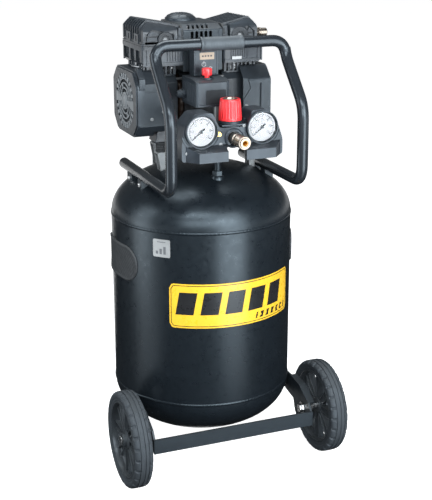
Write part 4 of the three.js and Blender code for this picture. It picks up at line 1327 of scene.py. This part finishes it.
def panel():
    """The moulded housing: a face with two gauge wells, a lip below it and a notch in the middle."""
    (_, _), (lip_front, back), (bottom, _) = extent("panel_housing")
    face = lip_front + 22
    wall = 3

    def lip(inset):
        wide, narrow = 95 - inset, 76 - inset / 2
        return [
            (-wide, face + 1 + inset), (-narrow, lip_front + inset), (narrow, lip_front + inset),
            (wide, face + 1 + inset),
        ]

    body = prism(Y, softened(panel_outline(0, bottom), 6), face, back)
    shelf = prism(Z, lip(0), bottom, bottom + 29)
    shell = carved(body, shelf, operation="UNION")
    slope = [
        (lip_front - 1, bottom + 18), (lip_front - 1, bottom + 40), (face - 0.4, bottom + 40),
        (face - 0.4, bottom + 28),
    ]
    sloped = prism(X, slope, -110, 110)
    shell = carved(shell, sloped)
    inside = prism(Y, panel_outline(wall, bottom - 10), face + wall, back + 5)
    shell = carved(shell, inside)
    shell = carved(shell, prism(Z, lip(wall), bottom - 10, bottom + 15))
    wells = [rod(Y, (x, GAUGE_Z), 27.8, face - 30, back, 64) for x in GAUGE_X.values()]
    notch = prism(
        Y, softened([(-19, bottom - 10), (17, bottom - 10), (17, bottom + 24), (-19, bottom + 24)], 4),
        lip_front - 5, face + 6,
    )
    shell = carved(shell, *wells, notch)
    shell = carved(shell, rod(Y, COUPLER, 12.2, face - 20, face + 9, 48))
    trims = []
    for x in GAUGE_X.values():
        for start in (31.8, 36.2):
            ridge = [
                (start, face + 1), (start + 2.6, face + 1), (start + 2.2, face - 1.6),
                (start + 0.4, face - 1.6),
            ]
            arc_ring = turned(Y, (x, GAUGE_Z), [*ridge, ridge[0]], 72)
            trims.append(
                carved(arc_ring, block((x - 60, x + 60), (face - 9, face + 9), (GAUGE_Z - 8, GAUGE_Z + 60)))
            )
    boss = turned(
        Y, COUPLER,
        [
            (12.4, face + 1), (19, face + 1), (18, face - 2), (16, face - 3.4), (13, face - 3.4),
            (12.4, face + 1),
        ],
        48,
    )
    shelf_rib = block((-24, 24), (face - 1.6, face + 1), (701, 703.4))
    piece(
        "panel_shell", join(shell, *trims, boss, shelf_rib), "panel_plastic", replaces=("panel_housing",),
        edge=0.9,
    )
    screws = [
        screw(Y, (x, z), 3.2, face, face - 2)
        for x, z in ((-92, 656), (90, 656), (-26, 668), (20, 700), (-41, 709))
    ]
    piece("panel_screws", join(*screws), "rail_paint")
    plug_at = (-31, 688)
    plug = [hexagon(Y, plug_at, 5.6, face + 1, face - 5), rod(Y, plug_at, 3.6, face - 9, face - 4, 24)]
    piece("panel_brass_plug", join(*plug), "brass", edge=0.3)


DIAL_START, DIAL_SWEEP = -130, 260


def gauge(side):
    """Bezel, dial with its scale, and a clear lens. The needle rides on its own body."""
    x = GAUGE_X[side]
    centre = (x, GAUGE_Z)
    front, rear = extent("gauge_case_right")[1]
    dial = front + 5.2
    bezel = [
        (0, rear), (24, rear), (26.8, rear - 2), (26.8, dial + 3), (31, dial + 2.6), (31.2, front + 0.8),
        (30.6, front), (29.4, front), (28.8, front + 0.6), (28.2, dial - 0.6), (26.9, dial + 0.4),
        (0, dial + 0.4),
    ]
    piece(
        f"gauge_bezel_{side}", turned(Y, centre, bezel, 80), "black_plastic",
        replaces=(f"gauge_case_{side}",), smooth=35,
    )
    piece(
        f"gauge_dial_{side}",
        turned(Y, centre, [(0, dial + 0.5), (26.7, dial + 0.5), (26.7, dial), (0, dial)], 72), "dial_white",
    )
    ticks = []
    for i in range(31):
        long_tick = i % 5 == 0
        half = 0.7 if long_tick else 0.4
        mark = block((-half, half), (dial - 0.12, dial + 0.1), (19 if long_tick else 21, 23.4))
        angle = DIAL_START + DIAL_SWEEP * i / 30
        ticks.append(moved(spun(mark, angle, Y), x, 0, GAUGE_Z))
    arc = []
    for i in range(60):
        a0, a1 = (math.radians(DIAL_START + DIAL_SWEEP * k / 60) for k in (i, i + 1))
        arc.append(
            prism(
                Y,
                [
                    (x + r * math.sin(a), GAUGE_Z + r * math.cos(a))
                    for r, a in ((23.2, a0), (23.7, a0), (23.7, a1), (23.2, a1))
                ],
                dial - 0.12, dial + 0.1
            )
        )
    piece(f"gauge_scale_{side}", join(*ticks, *arc), "needle_black")
    numbers(side, x, dial)
    lens = [
        (0, front + 1.4), (26.6, front + 1.6), (27.3, front + 2.1), (27.3, front + 2.9),
        (26.6, front + 2.4), (0, front + 2.2),
    ]
    piece(f"gauge_lens_{side}", turned(Y, centre, lens, 72), "lens", smooth=50)
    node = f"gauge_needle_{side}"
    needle_y = extent(node)[1]
    pointer = prism(
        Y, [(-1.5, -8), (1.5, -8), (1.0, 0), (0.32, 21.5), (-0.32, 21.5), (-1.0, 0)], needle_y[0] + 0.5,
        needle_y[0] + 1.3,
    )
    pointer = moved(spun(pointer, DIAL_START, Y), x, 0, GAUGE_Z)
    pin = turned(
        Y, centre,
        [(0, needle_y[1]), (3, needle_y[1]), (3, needle_y[0] + 0.3), (2.3, needle_y[0]), (0, needle_y[0])],
        28,
    )
    piece(f"pointer_{side}", join(pointer, pin), "needle_black", f"needle_{side}", (node,), edge=0.12)


def numbers(side, x, dial):
    """Plain numbers from 0 to 12 round the dial."""
    shapes = []
    for i in range(7):
        angle = math.radians(DIAL_START + DIAL_SWEEP * i / 6)
        text = bpy.data.curves.new(f"figure_{side}_{i}", "FONT")
        text.body = str(i * 2)
        text.size = 6.4 * MM
        text.align_x = text.align_y = "CENTER"
        text.extrude = 0.06 * MM
        obj = bpy.data.objects.new(f"dial_number_{side}_{i}", text)
        bpy.context.scene.collection.objects.link(obj)
        obj.matrix_world = Matrix.Translation(
            to_row((x + 16 * math.sin(angle), dial - 0.08, GAUGE_Z + 16 * math.cos(angle)))
        ) @ Matrix.Rotation(math.pi / 2, 4, "X")
        bpy.context.view_layer.update()
        mesh = bpy.data.meshes.new_from_object(obj.evaluated_get(bpy.context.evaluated_depsgraph_get()))
        mesh.transform(obj.matrix_world)
        shapes.append(
            ([tuple((v.co - AXIS) / MM) for v in mesh.vertices], [tuple(p.vertices) for p in mesh.polygons])
        )
        bpy.data.objects.remove(obj)
        bpy.data.meshes.remove(mesh)
    piece(f"gauge_numbers_{side}", join(*shapes), "needle_black")


# ---------------------------------------------------------------- regulator, coupler, safety valve

KNOB = tuple(middle("regulator_knob")[:2])


def regulator():
    low, high = extent("regulator_knob")[2]
    ribs = 24

    def wall(u, v):
        angle = 2 * math.pi * u
        radius = 21.7 - 3.0 * v
        if 0.1 < v < 0.95:
            radius += 0.45 * max(-0.6, math.cos(ribs * angle))
        return KNOB[0] + radius * math.cos(angle), KNOB[1] + radius * math.sin(angle), low + v * (
            high - low - 1
        )

    skin = surface(wall, ribs * 8, 24, True, False)
    top_edge = turned(
        Z, KNOB,
        [
            (18.7, high - 1), (18, high), (13.9, high), (13.5, high - 1), (13.4, high - 9), (5.5, high - 9),
            (5.5, low + 19), (17.5, low + 18), (17.5, low), (21.7, low),
        ],
        ribs * 8,
    )
    knob = join(skin, top_edge)
    piece("knob", knob, "red_plastic", "regulator_knob", ("regulator_knob",), smooth=50)
    rim = turned(
        Z, KNOB,
        [
            (10.4, high - 8), (13.3, high - 8), (13.3, high + 0.2), (12.4, high + 0.6), (11, high + 0.6),
            (10.4, high - 0.4), (10.4, high - 8),
        ],
        64,
    )
    piece("knob_ring", rim, "nickel", "regulator_knob")
    plug = turned(
        Z, KNOB,
        [
            (5.6, high - 8.8), (10.3, high - 8.8), (10.3, high - 5), (8, high - 3.6), (5.6, high - 3.6),
            (5.6, high - 8.8),
        ],
        48,
    )
    piece("knob_well", plug, "rubber", "regulator_knob")
    low, high = extent("regulator_collar")[2]
    collar = [
        (14, low), (20, low), (21, low + 1), (21, low + 3.4), (19.6, low + 4), (19.6, low + 5.2),
        (21, low + 5.8), (21, high - 1), (20, high), (14, high), (14, low),
    ]
    piece(
        "collar_ring", turned(Z, KNOB, collar, 64), "black_plastic", replaces=("regulator_collar",),
        smooth=35,
    )
    refinish("regulator_body", "zinc_casting", 1.0)
    refinish("regulator_spindle", "brass", 0.4)


def coupler():
    front, rear = extent("coupler_body")[1]
    body = [
        (0, rear), (9.6, rear), (9.6, -171), (11.6, -173), (11.6, -186), (9.7, -187.2), (9.7, front + 1),
        (9, front),
        (6.3, front), (5.6, front + 1), (5.6, -190), (0, -190),
    ]
    piece("coupler_barrel", turned(Y, COUPLER, body, 56), "nickel", replaces=("coupler_body",), smooth=30)
    bore = [
        (5.5, front + 1.6), (5.5, -190.4), (0, -190.4), (0, -192), (2.2, -192), (2.2, front + 9),
        (4.6, front + 4), (5.0, front + 1.6), (5.5, front + 1.6),
    ]
    piece("coupler_seat", turned(Y, COUPLER, bore, 40), "brass", smooth=30)
    low, high = extent("coupler_sleeve")[1]
    sleeve = [(9.9, low), (11.4, low), (12.1, low + 0.8)]
    for i in range(9):
        y = low + 3 + i * 2.2
        sleeve += [(12.1, y), (11.55, y + 0.5), (11.55, y + 0.9), (12.1, y + 1.4)]
    sleeve += [(12.1, high - 0.8), (11.4, high), (9.9, high), (9.9, low)]
    piece(
        "sleeve", turned(Y, COUPLER, sleeve, 56), "nickel", "coupler_sleeve", ("coupler_sleeve",),
        smooth=30,
    )


def safety_valve():
    refinish("safety_valve_body", "brass", 0.5)
    x, y, _ = middle("safety_valve_ring")
    low, high = extent("safety_valve_ring")[2]
    radius = 7.1
    loop_z = low + 8.2

    def loop(u, v):
        angle, tube_angle = 2 * math.pi * u, 2 * math.pi * v
        r = radius + 1.0 * math.cos(tube_angle)
        return x + 1.0 * math.sin(tube_angle), y + r * math.cos(angle), loop_z + r * math.sin(angle)

    stem = turned(
        Z, (x, y), [(0, loop_z + 6.4), (1.7, loop_z + 6.6), (1.7, high - 1), (1.2, high), (0, high)], 20,
    )
    shapes = join(surface(loop, 48, 12, True, True), stem)
    piece("pull_ring", shapes, "bright_steel", "safety_valve_ring", ("safety_valve_ring",), smooth=60)


# ---------------------------------------------------------------- pressure switch

def pressure_switch():
    (x0, x1), (y0, y1), (z0, z1) = extent("switch_base")
    base = prism(Z, softened([(x0, y0), (x1, y0), (x1, y1), (x0, y1)], 4), z0, z1)
    button = tuple(middle("switch_button")[:2])
    frame_cut = prism(Y, rounded((x0 + 5, x1 - 5), (z0 + 4, z1 - 5), 2), y0 - 1, y0 + 1.6)
    slope = prism(X, [(y0 - 1, z1 - 4), (y0 - 1, z1 + 1), (y0 + 26, z1 + 1)], x0 - 1, x1 + 1)
    stem_hole = rod(Z, button, 5.6, z1 - 22, z1 - 10, 32)
    shell = carved(base, frame_cut, rod(Z, button, 10.4, z1 - 14, z1 + 4, 40))
    shell = carved(shell, stem_hole)
    shell = carved(shell, slope)
    side_ribs = [
        block((x0 - 0.8, x0 + 1), (y0 + 10 + i * 9, y0 + 12.5 + i * 9), (z0 + 6, z1 - 8))
        for i in range(7)
    ]
    well = ring(Z, button, 10.4, 12.6, z1 - 10, z1 + 2.2, 48)
    piece(
        "switch_case", join(shell, *side_ribs, well), "black_plastic", replaces=("switch_base",), edge=0.7,
    )
    # A near-black plate in the front recess: painted shade.
    window = prism(Y, rounded((-31, 9), (z0 + 3, z0 + 31), 3), y0 + 0.9, y0 + 1.9)
    piece("switch_window", window, "painted_shade_black", edge=0.3)
    (x0, x1), (y0, y1), (z0, z1) = extent("switch_cover")
    section = [(y0, z0), (y0, z1 - 4), (y0 + 4, z1), (y1 - 3, z1), (y1, z1 - 3), (y1, z0)]
    hood = prism(X, softened(section, 2), x0, x1)
    hood = carved(hood, prism(Y, rounded((x0 + 3, x1 - 3), (z0 + 4, z1 - 7), 2), y0 - 1, y0 + 1))
    piece("switch_hood", hood, "black_plastic", replaces=("switch_cover",), edge=0.7)
    face = y0 + 1
    piece("switch_label", prism(Y, rounded((-24, 5), (808, 821), 1), face - 0.5, face + 0.2), "label_tan")
    marks = [
        block((-20 + 5.6 * i, -16.4 + 5.6 * i), (face - 0.7, face - 0.4), (813, 816))
        for i in range(4)
    ]
    piece("switch_label_marks", join(*marks), "needle_black")
    signs = [
        ring(Y, (-16, 799), 3.4, 4.4, face - 0.5, face + 0.2, 32),
        block((-16.6, -15.4), (face - 0.6, face + 0.1), (799, 805)),
    ]
    signs += [ring(Y, (-3, 791), 2.6, 3.6, face - 0.5, face + 0.2, 32)]
    piece("switch_signs", join(*signs), "dial_white")
    low, high = extent("switch_button")[2]
    profile = [
        (0, low), (4.8, low), (4.8, high - 13), (9, high - 13), (9.6, high - 11.5), (9.6, high - 1.8),
        (9.2, high - 0.8), (8.2, high - 0.2), (6.6, high - 0.2), (4.5, high - 1.0), (0, high - 1.2),
    ]
    piece(
        "button", turned(Z, button, profile, 48), "red_plastic", "switch_button", ("switch_button",),
        smooth=45,
    )
    refinish("cable_gland", "black_plastic", 0.5)


# ---------------------------------------------------------------- stage: floor, light and camera

def area_light(name, place, target, size, power, colour=(1, 1, 1)):
    data = bpy.data.lights.new(name, "AREA")
    data.shape = "RECTANGLE"
    data.size, data.size_y = size
    data.energy = power
    data.color = colour
    light = bpy.data.objects.new(name, data)
    light.location = place
    light.rotation_euler = (Vector(target) - Vector(place)).to_track_quat("-Z", "Y").to_euler()
    light.visible_camera = False
    bpy.context.scene.collection.objects.link(light)


def card(name, corners, look):
    """A flat card of the studio, facing whatever it is turned to."""
    mesh = bpy.data.meshes.new(name)
    mesh.from_pydata(corners, [], [tuple(range(len(corners)))])
    mesh.materials.append(looks[look])
    obj = bpy.data.objects.new(name, mesh)
    bpy.context.scene.collection.objects.link(obj)
    return obj


def floor_card(name, first, last, near, far, height, strength):
    """A card on the floor that only glossy reflections see, dark or glowing by its strength."""
    look = finish(name, (0.006, 0.006, 0.007), 0.7, mottle_scale=2, grain_scale=40, grain=0.02)
    glow(look, strength)
    steps = max(2, round((last - first) / 24))
    turns = [first + (last - first) * i / steps for i in range(steps + 1)]
    corners = [around(turn, near, height) for turn in turns]
    corners += [around(turn, far, height) for turn in reversed(turns)]
    flag = card(name, corners, name)
    flag.visible_camera = False
    flag.visible_diffuse = False
    flag.visible_shadow = False
    flag.visible_transmission = False


def around(azimuth, distance, height):
    """A place round the tank. Azimuth 0 is straight in front, and 90 is towards +X."""
    turn = math.radians(azimuth)
    return AXIS + Vector((distance * math.sin(turn), -distance * math.cos(turn), height))


def stage():
    """A white floor, a dark card before it that only reflections see, and three large soft boxes."""
    half = 30
    paper = finish(
        "floor_paper", (0.8, 0.8, 0.8), 0.9, mottle=0.01, mottle_scale=0.4, grain_scale=40, grain=0.02,
    )
    glow(paper, 0.9)
    principled(paper).inputs["Specular IOR Level"].default_value = 0
    floor = card(
        "floor",
        [(-half, -half, -0.001), (half, -half, -0.001), (half, half, -0.001), (-half, half, -0.001)],
        "floor_paper",
    )
    floor.visible_diffuse = False
    floor_card("dark_card", -166, 150, 0.06, 3.4, 0.002, 0)
    floor_card("right_strip", 4, 30, 0.55, 2.4, 0.004, 1.5)
    floor_card("left_strip", -100, -70, 0.55, 2.4, 0.004, 0.9)
    world = bpy.data.worlds.new("studio")
    world.use_nodes = True
    world.node_tree.nodes["Background"].inputs["Color"].default_value = (0.92, 0.97, 1, 1)
    world.node_tree.nodes["Background"].inputs["Strength"].default_value = 0.13
    bpy.context.scene.world = world
    target = AXIS + Vector((0, 0, 0.45))
    cool = (0.94, 0.98, 1)
    area_light("right_box", around(15, 1.25, 0.8), target + Vector((0, 0, 0.35)), (0.75, 1.6), 23, cool)
    area_light("left_box", around(-96, 1.35, 0.8), target + Vector((0, 0, 0.35)), (0.6, 1.6), 11, cool)
    area_light("dome_box", around(-26, 1.6, 1.95), target + Vector((0, 0, 0.12)), (1.3, 0.5), 20, cool)
    area_light("front_box", around(-12, 2.4, 1.25), target + Vector((0, 0, 0.15)), (2.9, 0.8), 50, cool)
    area_light("top_box", (0.0, 0.55, 2.3), target, (1.3, 1.1), 26, cool)
    bpy.context.scene.view_settings.view_transform = "Standard"


def camera():
    """Looks at the tank from the front left and a little above."""
    azimuth, elevation, distance = math.radians(-22), math.radians(17.5), 2.3
    target = AXIS + Vector((0.0326, 0, 0.4095))
    back = Vector((
        math.sin(azimuth) * math.cos(elevation), -math.cos(azimuth) * math.cos(elevation),
        math.sin(elevation),
    ))
    data = bpy.data.cameras.new("view")
    data.sensor_width = 36
    data.lens = 80.8
    data.clip_end = 100
    eye = bpy.data.objects.new("view", data)
    eye.location = target + back * distance
    eye.rotation_euler = (-back).to_track_quat("-Z", "Y").to_euler()
    bpy.context.scene.collection.objects.link(eye)
    bpy.context.scene.camera = eye


# ---------------------------------------------------------------- the whole machine

tank()
pump_posts()
handle_saddles()
tank_labels()
side_pad("left")
side_pad("right")
handle()
wheels()
undercarriage()
drain()
motor()
cylinders()
heads()
shrouds()
top_cover()
filter_cap()
discharge()
dampers()
panel()
gauge("left")
gauge("right")
regulator()
coupler()
safety_valve()
pressure_switch()
stage()
camera()
